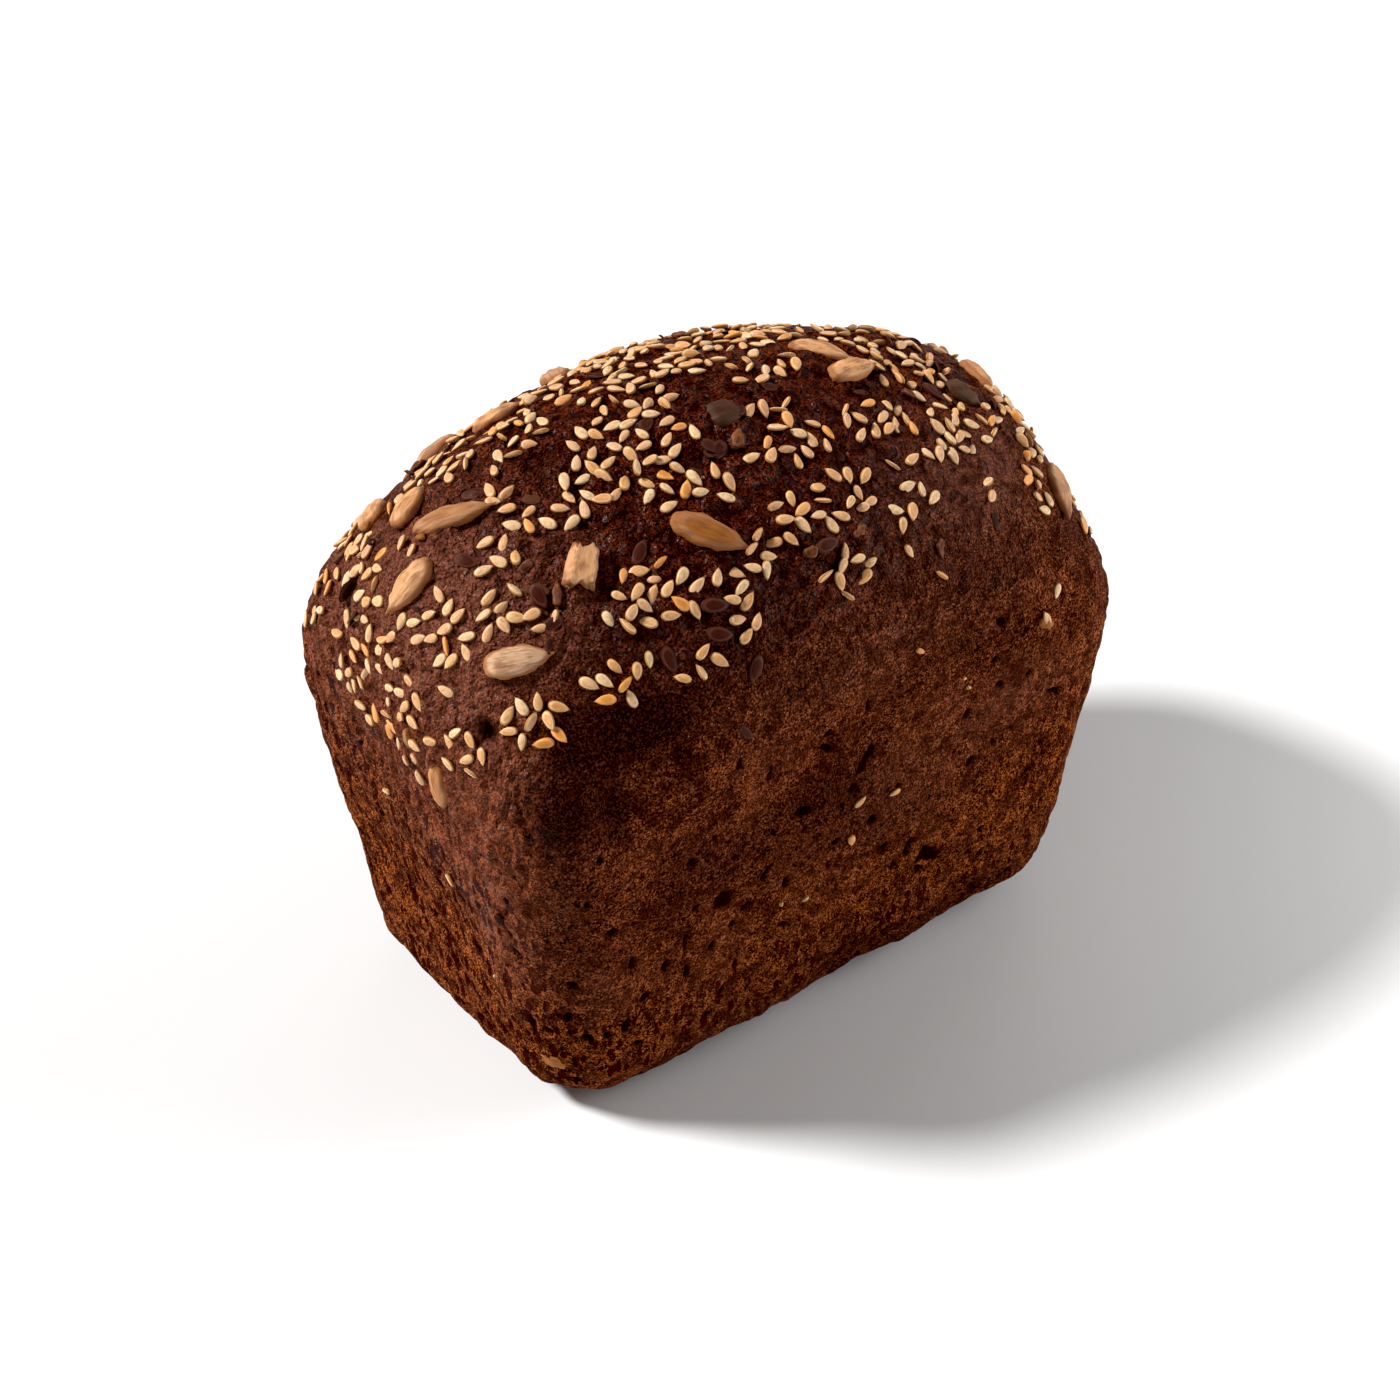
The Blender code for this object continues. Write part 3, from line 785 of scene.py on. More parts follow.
FLAX_FINISH = SeedFinish(
    "flax_skin", pale=(0.075, 0.014, 0.0065), deep=(0.034, 0.0050, 0.0030),
    blush=(0.052, 0.0100, 0.0055), toasted=(0.14, 0.040, 0.016), tip=(0.016, 0.003, 0.0015),
    edge=(0.15, 0.055, 0.034), blotch_and_edge_shade=(0.060, 0.018, 0.011), toasted_from=0.96, streak=0.5,
    blotch=0.4, rim=0.5, roughness=0.34, bump_depth=0.2 * MM, level=0.08, gloss=(1.0, 0.8, 0.7))
GRAIN_FINISH = SeedFinish(
    "cracked_grain", pale=(0.24, 0.075, 0.022), deep=(0.110, 0.030, 0.013),
    blush=(0.17, 0.050, 0.020), toasted=(0.50, 0.19, 0.035), tip=(0.06, 0.016, 0.008),
    edge=(0.32, 0.13, 0.06), blotch_and_edge_shade=(0.06, 0.015, 0.008), toasted_from=0.7, streak=0.6,
    blotch=0.5, rim=0.4, roughness=0.5, bump_depth=0.15 * MM, level=0.12)
BRAN_FINISH = SeedFinish(
    "bran_flakes", pale=(0.075, 0.022, 0.013), deep=(0.040, 0.008, 0.0035),
    blush=(0.055, 0.015, 0.010), toasted=(0.13, 0.045, 0.018), tip=(0.020, 0.004, 0.002),
    edge=(0.14, 0.052, 0.034), blotch_and_edge_shade=(0.05, 0.012, 0.007), streak=0.5, blotch=0.5, rim=0.4,
    roughness=0.5, bump_depth=0.1 * MM, level=0.05)


# ------------------------------------------------------------------ the crust


# The pores and creases that show in the photograph, and a few like them on the far sides: place,
# length, width and depth (mm), and lean from upright (degrees).
PORES: Rows = (
    (27, -38, 62, 1.9, 1.2, 1.2, -88), (35, -37, 55, 2.2, 2.0, 1.3, 0),
    (42, -37, 48, 3.6, 1.9, 1.4, -64), (29, -37, 55, 2.4, 1.5, 0.8, -30),
    (23, -37, 52, 2.4, 1.6, 1.3, 30), (25, -36, 41, 3.0, 2.4, 0.6, 0),
    (37, -35, 33, 4.0, 1.0, 1.1, 29), (40, -35, 35, 3.4, 0.9, 0.9, -70),
    (44, -34, 26, 2.6, 1.5, 1.2, 0), (29, -35, 24, 2.0, 1.3, 1.0, -30),
    (13, -35, 29, 4.2, 2.0, 1.2, 16), (18, -35, 24, 5.4, 3.6, 0.7, -59),
    (33, -38, 65, 3.0, 1.3, 1.0, 34), (28, -38, 69, 3.0, 1.8, 0.9, -65),
    (-6, -38, 63, 2.2, 1.5, 1.2, -7), (-6, -38, 60, 3.3, 2.0, 1.3, -56),
    (-10, -37, 49, 3.8, 2.2, 1.2, -62), (-23, -38, 66, 2.8, 1.0, 1.0, 4),
    (-17, -38, 61, 3.8, 1.1, 0.6, 7), (2, -37, 53, 7.5, 2.0, 0.6, 40),
    (2, -38, 64, 4.4, 1.2, 0.7, 0), (-17, -36, 40, 4.6, 1.5, 0.9, 40),
    (-20, -35, 34, 2.9, 1.8, 1.4, 45), (0, -37, 49, 2.6, 1.8, 0.9, 30),
    (4, -36, 40, 3.2, 2.4, 0.8, -5), (-16, -37, 48, 1.4, 1.2, 1.0, 0),
    (-2, -33, 11, 4.0, 3.0, 1.2, -56), (-12, -35, 25, 3.2, 1.2, 0.8, -59),
    (-45, -36, 43, 3.7, 2.1, 1.5, -62), (-49, -36, 51, 2.2, 1.2, 1.2, -19),
    (-51, -33, 33, 2.5, 2.1, 1.1, 0), (-52, -30, 26, 2.0, 1.3, 1.2, -70),
    (-53, -28, 22, 1.9, 1.5, 1.2, -20), (-41, -35, 34, 3.7, 1.5, 1.0, 7),
    (-35, -35, 30, 3.7, 1.7, 1.2, 7), (-31, -35, 33, 5.0, 1.3, 1.5, -6),
    (-31, -35, 26, 3.0, 1.5, 1.0, 1), (-30, -36, 40, 2.5, 1.8, 1.0, 30),
    (-31, -37, 50, 2.3, 1.5, 1.0, 8), (-47, -37, 59, 1.8, 1.4, 1.0, 5),
    (-42, -34, 21, 3.8, 1.8, 1.2, 17), (-40, -34, 15, 2.2, 1.6, 1.2, -60),
    (-45, -33, 20, 2.2, 1.6, 1.1, 24), (-48, -32, 20, 2.6, 1.8, 1.2, -50),
    (-39, -35, 25, 2.7, 2.0, 1.0, 19), (-24, -34, 18, 3.1, 1.4, 0.9, 31),
    (-25, -36, 39, 5.0, 4.4, 0.6, 0), (-21, -34, 22, 3.4, 1.3, 1.0, 7),
    (-56, -26, 38, 3.4, 1.9, 1.4, -50), (-57, -25, 43, 5.0, 1.1, 0.6, -25),
    (-58, -25, 45, 2.2, 1.7, 0.9, -20), (-57, -9, 34, 2.6, 1.4, 1.3, -10),
    (-55, -13, 13, 4.4, 2.0, 1.4, -20), (-58, 9, 43, 5.0, 1.6, 1.1, -12),
    (-58, 21, 44, 4.0, 1.6, 1.1, 0), (-56, 21, 29, 3.6, 2.0, 1.1, -10),
    (-54, -26, 23, 4.2, 1.3, 0.9, -12), (-55, -19, 15, 3.6, 1.5, 0.9, -20),
    (24, 37, 52, 3.4, 2.0, 1.3, 20), (-8, 37, 44, 4.6, 1.4, 1.2, -30),
    (-36, 36, 34, 3.0, 2.0, 1.3, 10), (58, -12, 46, 3.4, 1.8, 1.3, -30),
    (57, 14, 30, 3.0, 1.4, 1.2, 12),
)
# Soft patches of the crust: how much of each lies everywhere, and its spots with their strengths.
PATCHES: dict[str, tuple[float, Rows]] = {
    # Near-black char by the near corner and on the shoulder, and painted shade: broad darkening on
    # the middle of the long side and down the near corner.
    "char_and_shade": (0.0, (
        (-52, -34, 69, 6, 5, 7, 1.0), (-48, -29.5, 77, 5, 4, 4.5, 0.7),
        (-42, -33.5, 77, 6, 5, 4, 1.0), (-35, -34.5, 77.5, 5, 5, 3.5, 0.9),
        (-28, -36, 78, 5, 5, 3, 0.35), (-43, -26, 84, 9, 5, 4, 0.4),
        (-34, -24.7, 89, 5, 4, 4, 0.5), (-14, -27, 93, 5, 4, 4, 0.45),
        (-11, -37, 75, 8, 6, 4, 0.45), (28, -35, 77, 18, 6, 5, 0.5), (-22, -33, 83, 7, 4, 4, 0.5),
        (-33, -37, 52, 6, 6, 6, 0.35), (30, -36, 42, 6, 6, 7, 0.2), (14, -36, 39, 10, 6, 7, 0.35),
        (-8, -36, 38, 12, 6, 7, 0.3), (-51, -35, 46, 5, 5, 20, 0.45),
        (-23, -37, 47, 12, 8, 8, 0.45), (-2, -38, 50, 12, 8, 10, 0.45),
        (6, -38, 66, 10, 6, 6, 0.35), (-18, -33, 86, 22, 8, 8, 0.25),
        (-55.5, -21, 77, 2.1, 2.1, 2.1, 1.0), (-44, -37, 67, 2.2, 4, 7, 0.8),
        (22, -33, 9, 10, 4, 4, 0.6), (20, -38, 68, 6, 3, 3, 0.5), (31, -38, 66, 6, 3, 4, 0.4),
        (40, 35, 72, 9, 6, 6, 0.7),
    )),
    # Warmer, lighter crust, partly painted light where the light falls brighter: the right end of
    # the long side, the left end and the back of the top.
    "warm_and_lit": (0.1, (
        (-56, -6, 18, 10, 28, 18, 1.0), (-58, 26, 40, 10, 14, 32, 1.0),
        (-6, -36, 22, 36, 10, 14, 0.8), (-46, -33, 12, 14, 10, 10, 0.7),
        (46, -34, 34, 14, 10, 26, 1.0), (30, -36, 20, 16, 10, 12, 0.9),
        (-58, 0, 36, 8, 44, 40, 0.6), (-50, 4, 88, 12, 24, 12, 1.0),
        (-20, 16, 100, 34, 12, 12, 1.0), (20, 8, 102, 30, 14, 10, 0.8),
        (36, -12, 92, 20, 18, 10, 0.8), (10, 36, 24, 40, 10, 18, 0.7),
        (56, 6, 22, 10, 26, 16, 0.7),
    )),
    # Mauve plum crust, partly a painted sheen on the end's slope and on the right slope of the top.
    "plum_and_sheen": (0.0, (
        (-60, 0, 76, 11, 44, 17, 1.0), (34, -24, 87, 25, 12, 8, 0.7),
        (-48, -8, 92, 14, 26, 11, 0.8), (0, -38, 74, 26, 6, 6, 0.3), (34, -38, 50, 12, 8, 8, 0.6),
        (8, -38, 44, 10, 6, 10, 0.4), (-59, -18, 58, 8, 14, 18, 0.9),
        (-58, 12, 64, 8, 24, 16, 0.6), (-57, -24, 40, 6, 8, 14, 0.6), (-47, -36, 30, 8, 6, 6, 0.4),
        (60, 0, 74, 11, 44, 15, 0.8), (-20, 38, 76, 26, 8, 9, 0.7), (10, 38, 46, 14, 8, 8, 0.5),
    )),
    "sponge": (0.2, (
        (-57, 26, 30, 10, 16, 26, 0.8), (-56, 4, 14, 10, 34, 18, 0.8),
        (-58, -6, 40, 8, 26, 18, 0.8), (-60, 18, 62, 8, 12, 12, 0.3),
        (-46, -32, 14, 14, 8, 12, 0.5), (0, -34, 14, 60, 8, 10, 0.5),
        (42, -38, 40, 16, 8, 18, 0.4), (57, 0, 24, 10, 36, 26, 0.7), (0, 36, 16, 60, 8, 16, 0.5),
    )),
}


@dataclass
class Crust:
    """The loaf's crust as one closed mesh, with real lumps, wrinkles and pores.

    Lumps are rows of a wave (mm), a shift and a height (mm).
    """

    form: LoafForm
    cells: tuple[int, int, int] = (220, 144, 156)
    triangles: int = 196000
    grid_half: Place = (60.5 * MM, 38.5 * MM, 42.0 * MM)
    grid_bow: float = math.radians(65)
    grid_bow_share: float = 0.45
    flat_below: float = 0.02 * MM
    side_edge: float = 83.0 * MM
    end_edge_rise: float = 5.0 * MM
    edge_soft: float = 7.0 * MM
    edge_lumps: Rows = ((9, 3.0, 4.5), (3.5, 9.0, 2))
    wall_lumps: Rows = ((6.0, 1.0, 0.28), (2.6, 5.0, 0.17), (1.2, 4.0, 0.10))
    crown_lumps: Rows = ((3.8, 2.0, 0.72), (1.9, 8.0, 0.46), (1.2, 4.0, 0.16))
    foot_lumps: Rows = ((4.5, 11.0, 0.6),)
    foot: Row = (4 * MM, 16 * MM)
    crease_lumps: Rows = ((5.2, 7.0, 1.0),)
    crease_depth: float = 0.7
    crease_power: int = 7
    crease_wall: float = 0.35
    fold_lumps: Rows = ((1.9, 13.0, 1.0),)
    fold_stretch: Place = (1.0, 1.0, 3.6)
    fold_depth: float = 1.2
    fold_power: int = 4
    fold_end: Row = (51 * MM, 57 * MM)
    fold_bottom: Row = (42 * MM, 60 * MM)
    fold_top: Row = (78 * MM, 90 * MM)
    base_fade: Row = (0.3 * MM, 4 * MM)
    pore_seed: int = 77
    pore_darts: int = 2600
    pore_spread: Place = (60, 42, 50)
    pore_heights: Row = (3, 70)
    pore_fade: float = 72.0
    pore_depth: Row = (0.5, 1.1)
    # The shortest small pore, how much longer it may be, and how rare the long ones are.
    pore_length: Row = (0.8, 2.0, 2.4)
    pore_width: float = 0.35
    # Small pores of the ends and of the sides: the least chance of one, how much it grows low down
    # and by which power, the width against the length, and the swing from upright (degrees).
    end_from: float = 52
    end_pores: Row = (0.12, 0.9, 1.3, 0.34, 14.0)
    side_pores: Row = (0.06, 0.42, 1.6, 0.6, 30.0)
    pore_reach: float = 0.75
    level_least: float = 0.1
    pore_rag: Rows = ((1.3, 17.0, 0.45),)
    pore_bowl: Row = (0.30, 1.20)
    drop_from: float = 6.0
    dimples: Rows = (
        (-55.5, -21, 77, 1.9, 1.8, 1.8, -2.2), (-54.0, -24, 77, 1.4, 1.6, 2.4, 0.9),
        (-47, -31, 74, 2.4, 2.0, 1.4, -0.9), (-55, -31, 68, 1.2, 1.6, 4.0, -0.7),
        (-44, -36, 72, 3.0, 2.0, 1.3, 0.8), (-33, -36, 73, 3.4, 2.0, 1.6, -0.8),
        (-30, -36, 77, 3.2, 2.0, 1.2, 0.7), (-10, -15, 102, 5.0, 1.6, 3.0, -0.8),
        (-44, 0, 97, 2.0, 4.5, 3.0, -0.9), (-36, -22, 92, 4.5, 1.5, 3.0, -0.8),
        (26, -16, 98, 6.0, 2.2, 3.0, -0.7),
    )
    points: np.ndarray = field(default=None, repr=False)
    normals: np.ndarray = field(default=None, repr=False)
    bed: BVHTree = field(default=None, repr=False)

    def grid(self) -> tuple[np.ndarray, np.ndarray]:
        """Make a closed box grid.

        Returns:
            The grid's places from -1 to 1, and its squares as vertex numbers.
        """
        counts = np.array(self.cells)
        strides = np.array(((counts[1] + 1) * (counts[2] + 1), counts[2] + 1, 1))
        squares = []
        for axis in range(3):
            first, second = (axis + 1) % 3, (axis + 2) % 3
            i, j = np.meshgrid(np.arange(counts[first]), np.arange(counts[second]), indexing="ij")
            for side in (0, counts[axis]):
                ring = [side * strides[axis] + (i + over) * strides[first]
                        + (j + up) * strides[second]
                        for over, up in ((0, 0), (1, 0), (1, 1), (0, 1))]
                squares.append(np.stack(ring if side else ring[::-1], axis=-1).reshape(-1, 4))
        keys, squares = np.unique(np.concatenate(squares), return_inverse=True)
        places = np.stack((keys // strides[0], keys // strides[1] % (counts[1] + 1),
                           keys % (counts[2] + 1)), axis=-1)
        return places / counts * 2.0 - 1.0, squares.reshape(-1, 4)

    def top_share(self, points: np.ndarray, normals: np.ndarray) -> np.ndarray:
        """Tell how much of the dark top crust shows.

        Args:
            points: Points on the plain form, one a row.
            normals: The form's normals there.

        Returns:
            The share at each point, from 0 on the walls to 1 on top.
        """
        edge = self.side_edge + self.end_edge_rise * np.abs(normals[:, 0])
        return smooth_step(points[:, 2] + lumps_at(points, self.edge_lumps, MM),
                           edge - self.edge_soft, edge + self.edge_soft)

    def skin_relief(self, points: np.ndarray, top: np.ndarray) -> np.ndarray:
        """Find the height of the crust's finer lumps and wrinkles.

        Args:
            points: Points on the plain form, one a row.
            top: The share of top crust at each.

        Returns:
            Heights along the normals.
        """
        x, z = np.abs(points[:, 0]), points[:, 2]
        crease = 1.0 - np.abs(lumps_at(points, self.crease_lumps))
        folds = 1.0 - np.abs(lumps_at(points / np.array(self.fold_stretch), self.fold_lumps))
        folded = smooth_step(x, *self.fold_end) * smooth_step(z, *self.fold_bottom) * (
            1.0 - smooth_step(z, *self.fold_top))
        foot = lumps_at(points, self.foot_lumps) * (1.0 - smooth_step(z, *self.foot))
        lumps = lumps_at(points, self.wall_lumps) * (1.0 - top) + lumps_at(
            points, self.crown_lumps) * top
        lumps = lumps - self.crease_depth * crease**self.crease_power * (
            self.crease_wall + (1.0 - self.crease_wall) * top)
        lumps = lumps - self.fold_depth * folds**self.fold_power * folded + foot
        lumps = lumps + spots_at(points, self.dimples)
        return lumps * MM * smooth_step(z, *self.base_fade)

    def scattered_pores(self) -> list[Row]:
        """Throw the many small pores: slits low on the ends, dots low on the sides.

        Returns:
            The pores, as rows like the named ones.
        """
        rng = np.random.default_rng(self.pore_seed)
        aims = rng.normal(size=(self.pore_darts, 3))
        aims *= np.array(self.pore_spread) * MM / np.linalg.norm(aims, axis=-1, keepdims=True)
        bottom, top = self.pore_heights
        shortest, longer, rare = self.pore_length
        pores = []
        for place in self.form.cast(aims + self.form.heart) / MM:
            keep, size, depth = rng.random(), rng.random(), rng.uniform(*self.pore_depth)
            lean = rng.normal(0.0, 1.0)
            low = max(1.0 - place[2] / self.pore_fade, 0.0)
            least, growth, power, slim, swing = (
                self.end_pores if abs(place[0]) > self.end_from else self.side_pores)
            if bottom <= place[2] <= top and keep <= least + growth * low**power:
                length = shortest + longer * size**rare
                width = self.pore_width + slim * length
                pores.append((*place, length, width, depth, lean * swing))
        return pores

    def press_pores(self) -> np.ndarray:
        """Press the pores into the crust's points.

        Returns:
            How deep in a pore each point lies, from 0 to 1.
        """
        tree = kdtree.KDTree(len(self.points))
        for number, point in enumerate(self.points):
            tree.insert(point, number)
        tree.balance()
        share, drop = np.zeros(len(self.points)), np.zeros(len(self.points))
        rag = lumps_at(self.points, self.pore_rag)
        pores = np.array([*PORES, *self.scattered_pores()])
        for pore, middle in zip(pores, self.form.crust_points(pores[:, :3])):
            length, width, depth, lean = pore[3:]
            near = tree.find_range(middle, length * self.pore_reach * MM)
            rows = [number for _, number, _ in near]
            if not rows:
                continue
            up = self.normals[tree.find(middle)[1]]
            level = np.cross((0.0, 0.0, 1.0), up)
            slope = np.linalg.norm(level)
            level = level / slope if slope > self.level_least else (1.0, 0, 0)
            lean = math.radians(lean)
            long_way = np.cross(up, level) * math.cos(lean) + np.array(level) * math.sin(lean)
            away = (self.points[rows] - middle) / MM
            reach = np.hypot(away @ long_way / (length / 2),
                             away @ np.cross(up, long_way) / (width / 2))
            bowl = 1.0 - smooth_step(reach + rag[rows], *self.pore_bowl)
            share[rows] = np.maximum(share[rows], bowl)
            drop[rows] = np.maximum(drop[rows], bowl * depth * MM)
        self.points = self.points - self.normals * drop[:, None]
        return share

    def build(self) -> bpy.types.Object:
        """Make the crust.

        Returns:
            The crust as an object, with its colour shares stored on its points.
        """
        unit, squares = self.grid()
        bowed = np.sin(unit * self.grid_bow) / math.sin(self.grid_bow)
        unit = unit + (bowed - unit) * self.grid_bow_share
        plain = self.form.cast(self.form.heart + unit * np.array(self.grid_half))
        self.normals = self.form.normals(plain)
        top = self.top_share(plain, self.normals)
        height = self.form.relief(plain) + self.skin_relief(plain, top)
        self.points = plain + self.normals * height[:, None]
        pit = self.press_pores()
        self.points[plain[:, 2] < self.flat_below, 2] = 0.0
        self.points[:, 2] = np.maximum(self.points[:, 2], 0.0)

        full = meshed("full_crust", self.points.tolist(), squares.tolist())
        store(full, "top", top)
        store(full, "pit", pit)
        for name, (everywhere, spots) in PATCHES.items():
            store(full, name, np.clip(spots_at(plain, spots) + everywhere, 0.0, 1.0))
        self.bed = BVHTree.FromPolygons([Vector(p) for p in self.points], squares.tolist())
        host = stand("full_crust", full)
        host.modifiers.new("thin", "DECIMATE").ratio = self.triangles / (2 * len(full.polygons))
        crust = settled(host, "crust")
        crust.data.materials.append(CrustFinish().material())
        return crust

    def surface(self, place: np.ndarray) -> tuple[Vector, Vector]:
        """Drop a place onto the finished crust.

        Args:
            place: A point near the crust, in metres.

        Returns:
            The point on the crust, and the plain form's normal there.
        """
        up = Vector(self.form.normals(place[None])[0])
        point = self.bed.ray_cast(Vector(place) + up * self.drop_from * MM, -up)[0]
        return (point if point is not None else Vector(place)), up


# ------------------------------------------------------------------ seeds


class SeedKind(Enum):
    """The kinds of seed: length, width and thickness in millimetres, and share sunk."""

    SESAME = (2.95, 1.52, 0.95, 0.30)
    FLAX = (4.4, 2.2, 1.1, 0.42)
    SUNFLOWER = (10.5, 4.6, 3.2, 0.42)
    GRAIN = (2.8, 2.0, 1.2, 0.42)
    BRAN = (3.8, 2.4, 0.5, 0.28)


@dataclass(frozen=True)
class Lie:
    """How one seed lies: its middle and turn, its size against its kind's, and its tone."""

    middle: Vector
    turn: Matrix
    size: Place
    tone: float


@dataclass
class SeedTree:
    """A node tree that sets a seed of one shape on every host point. Named inputs give sizes."""

    name: str
    segments: int
    rings: int
    taper: float
    point: float
    flatten: float
    wrinkle_wave: float
    nipple: float = 0.0
    ribs: float = 0.0
    rib_count: float = 11.0
    point_power: float = 4.0
    nipple_power: float = 3.0
    thin_share: float = 0.7
    wrinkle_detail: float = 2.0

    def seed_shape(self, n: Nodes, sizes: list[Socket]) -> Socket:
        """Build one seed: a ball drawn out to a flattened drop with its point along +X.

        Args:
            n: The tree under construction.
            sizes: The seed's length, width and thickness.

        Returns:
            The seed.
        """
        ball = n.node("GeometryNodeMeshUVSphere", {"Segments": self.segments, "Rings": self.rings})
        shape = n.node("GeometryNodeTransform", {
            "Geometry": ball.outputs["Mesh"], "Rotation": (0.0, math.pi / 2, 0.0)}).outputs[0]
        x, y, z = n.parted(n.node("GeometryNodeInputPosition", {}).outputs[0])
        for name, value in (("along", x), ("side", y)):
            shape = n.node("GeometryNodeStoreNamedAttribute", {
                "Geometry": shape, "Name": name, "Value": value}, data_type="FLOAT").outputs[0]
        front = n.math("POWER", n.most(x, 0.0), self.point_power)
        point = n.math("SQRT", n.less(1.0, n.times(front, self.point)))
        drawn = n.plus(x, n.times(n.math("POWER", front, self.nipple_power), self.nipple))
        ribs = n.times(n.math("SINE", n.times(y, self.rib_count)), self.ribs)
        narrow, thin = (n.times(point, n.less(1.0, n.times(x, taper)))
                        for taper in (self.taper, self.taper * self.thin_share))
        flat = n.less(1.0, n.times(self.flatten, n.math("ABSOLUTE", z)))
        crown = n.times(z, n.plus(ribs, flat))
        parts = drawn, n.times(y, narrow), n.times(crown, thin)
        place = n.joined(*(n.times(part, n.times(size, 0.5)) for part, size in zip(parts, sizes)))
        return n.node("GeometryNodeSetPosition", {"Geometry": shape, "Position": place}).outputs[0]

    def build(self) -> bpy.types.GeometryNodeTree:
        """Build the whole tree.

        Returns:
            The node tree, which ends in realised instances with a material.
        """
        n = Nodes(bpy.data.node_groups.new(self.name, "GeometryNodeTree"))
        face = n.tree.interface
        for name, kind in (("Geometry", "Geometry"), ("Length", "Float"), ("Width", "Float"),
                           ("Thickness", "Float"), ("Wrinkle", "Float"), ("Finish", "Material")):
            face.new_socket(name, in_out="INPUT", socket_type=f"NodeSocket{kind}")
        face.new_socket("Geometry", in_out="OUTPUT", socket_type="NodeSocketGeometry")
        given = n.node("NodeGroupInput", {}).outputs
        turn, size = (n.node("GeometryNodeInputNamedAttribute", {"Name": name},
                             data_type="FLOAT_VECTOR").outputs["Attribute"]
                      for name in ("turn", "size"))
        sizes = [given[name] for name in ("Length", "Width", "Thickness")]
        laid = n.node("GeometryNodeInstanceOnPoints", {
            "Points": given["Geometry"], "Instance": self.seed_shape(n, sizes),
            "Rotation": n.node("FunctionNodeEulerToRotation", {0: turn}).outputs[0],
            "Scale": size})
        real = n.node("GeometryNodeRealizeInstances", {"Geometry": laid.outputs[0]})
        rough = n.node("ShaderNodeTexNoise", {"Scale": 1.0 / self.wrinkle_wave,
                                              "Detail": self.wrinkle_detail})
        push = n.node("ShaderNodeVectorMath", {
            0: n.node("GeometryNodeInputNormal", {}).outputs["Normal"],
            "Scale": n.times(n.less(rough.outputs[0], 0.5), given["Wrinkle"])}, operation="SCALE")
        uneven = n.node("GeometryNodeSetPosition", {"Geometry": real.outputs[0],
                                                    "Offset": push.outputs[0]})
        dressed = n.node("GeometryNodeSetMaterial", {"Geometry": uneven.outputs[0],
                                                     "Material": given["Finish"]})
        n.node("NodeGroupOutput", {"Geometry": dressed.outputs[0]})
        return n.tree


@dataclass
class SeedBatch:
    """All the seeds of one kind, laid out and joined into one mesh."""

    name: str
    slot: str
    kind: SeedKind
    tree: SeedTree
    finish: SeedFinish
    wrinkle: float
    lies: list[Lie]

    def build(self) -> bpy.types.Object:
        """Grow the seeds on host points that hold each seed's turn, size and tone.

        Returns:
            The seeds as one plain mesh object.
        """
        points = meshed("host", [tuple(lie.middle) for lie in self.lies], [])
        store(points, "turn", [tuple(lie.turn.to_euler()) for lie in self.lies])
        store(points, "size", [lie.size for lie in self.lies])
        store(points, "tone", [lie.tone for lie in self.lies])
        host = stand("host", points)
        grow = host.modifiers.new("grow", "NODES")
        grow.node_group = self.tree.build()
        sizes = [part * MM for part in self.kind.value[:3]]
        inputs = dict(zip(("Length", "Width", "Thickness"), sizes), Wrinkle=self.wrinkle,
                      Finish=self.finish.material())
        for item in grow.node_group.interface.items_tree:
            if item.in_out == "INPUT" and item.name in inputs:
                grow[item.identifier] = inputs[item.name]
        return settled(host, self.name)


# Drifts of sesame: middle and reach along X, Y and Z (mm), and how many seeds.
DRIFTS: Rows = (
    (-57, 25, 75, 3, 5, 5, 6), (-55, 11, 86, 3, 5, 4, 8), (-51, 5, 93, 2, 3, 0, 3),
    (-59, 5, 78, 2, 9, 4, 11), (-54, -7, 87, 3, 6, 4, 11), (-60, 5, 70, 1, 7, 5, 9),
    (-60, -6, 69, 1, 6, 7, 10), (-59, -19, 73, 1, 4, 3, 6), (-50, -26, 79, 4, 3, 3, 9),
    (-38, -29, 83, 6, 3, 2, 7), (-44, -7, 95, 3, 3, 0, 6), (-47, -14, 90, 4, 3, 2, 7),
    (-43, -19, 89, 3, 1, 0, 2), (-39, -4, 99, 2, 4, 0, 6), (-33, -10, 99, 3, 2, 0, 4),
    (-34, 5, 102, 3, 4, 0, 4), (-38, 15, 98, 4, 6, 0, 8), (-29, 8, 103, 3, 5, 0, 8),
    (-23, -4, 104, 4, 3, 0, 7), (-26, -9, 102, 5, 3, 0, 8), (-18, -14, 101, 4, 3, 0, 7),
    (-14, -9, 104, 4, 3, 0, 5), (-13, -3, 106, 4, 2, 0, 6), (-13, 3, 106, 6, 4, 0, 10),
    (-13, 14, 104, 7, 7, 0, 14), (-1, 5, 106, 5, 5, 0, 9), (-29, -25, 91, 6, 4, 2, 15),
    (-23, -27, 91, 3, 3, 2, 7), (-18, -32, 87, 3, 3, 4, 8), (-27, -33, 83, 4, 2, 2, 4),
    (-13, -28, 92, 6, 2, 0, 7), (-2, -27, 94, 10, 2, 0, 12), (17, -29, 90, 5, 3, 0, 5),
    (1, -33, 87, 4, 3, 2, 8), (3, -24, 96, 7, 2, 0, 5), (-16, -18, 100, 5, 3, 0, 6),
    (3, -17, 101, 6, 3, 0, 12), (3, -11, 103, 4, 1, 0, 5), (8, -3, 105, 6, 3, 0, 7),
    (14, 10, 103, 10, 7, 0, 20), (34, 3, 98, 9, 6, 0, 14), (35, -7, 96, 8, 5, 0, 15),
    (21, -16, 98, 7, 3, 0, 12), (37, -17, 91, 8, 4, 0, 16), (27, -22, 92, 9, 1, 0, 6),
    (33, -27, 86, 1, 2, 0, 2), (47, -23, 81, 4, 7, 2, 11), (51, -10, 86, 4, 5, 0, 6),
)
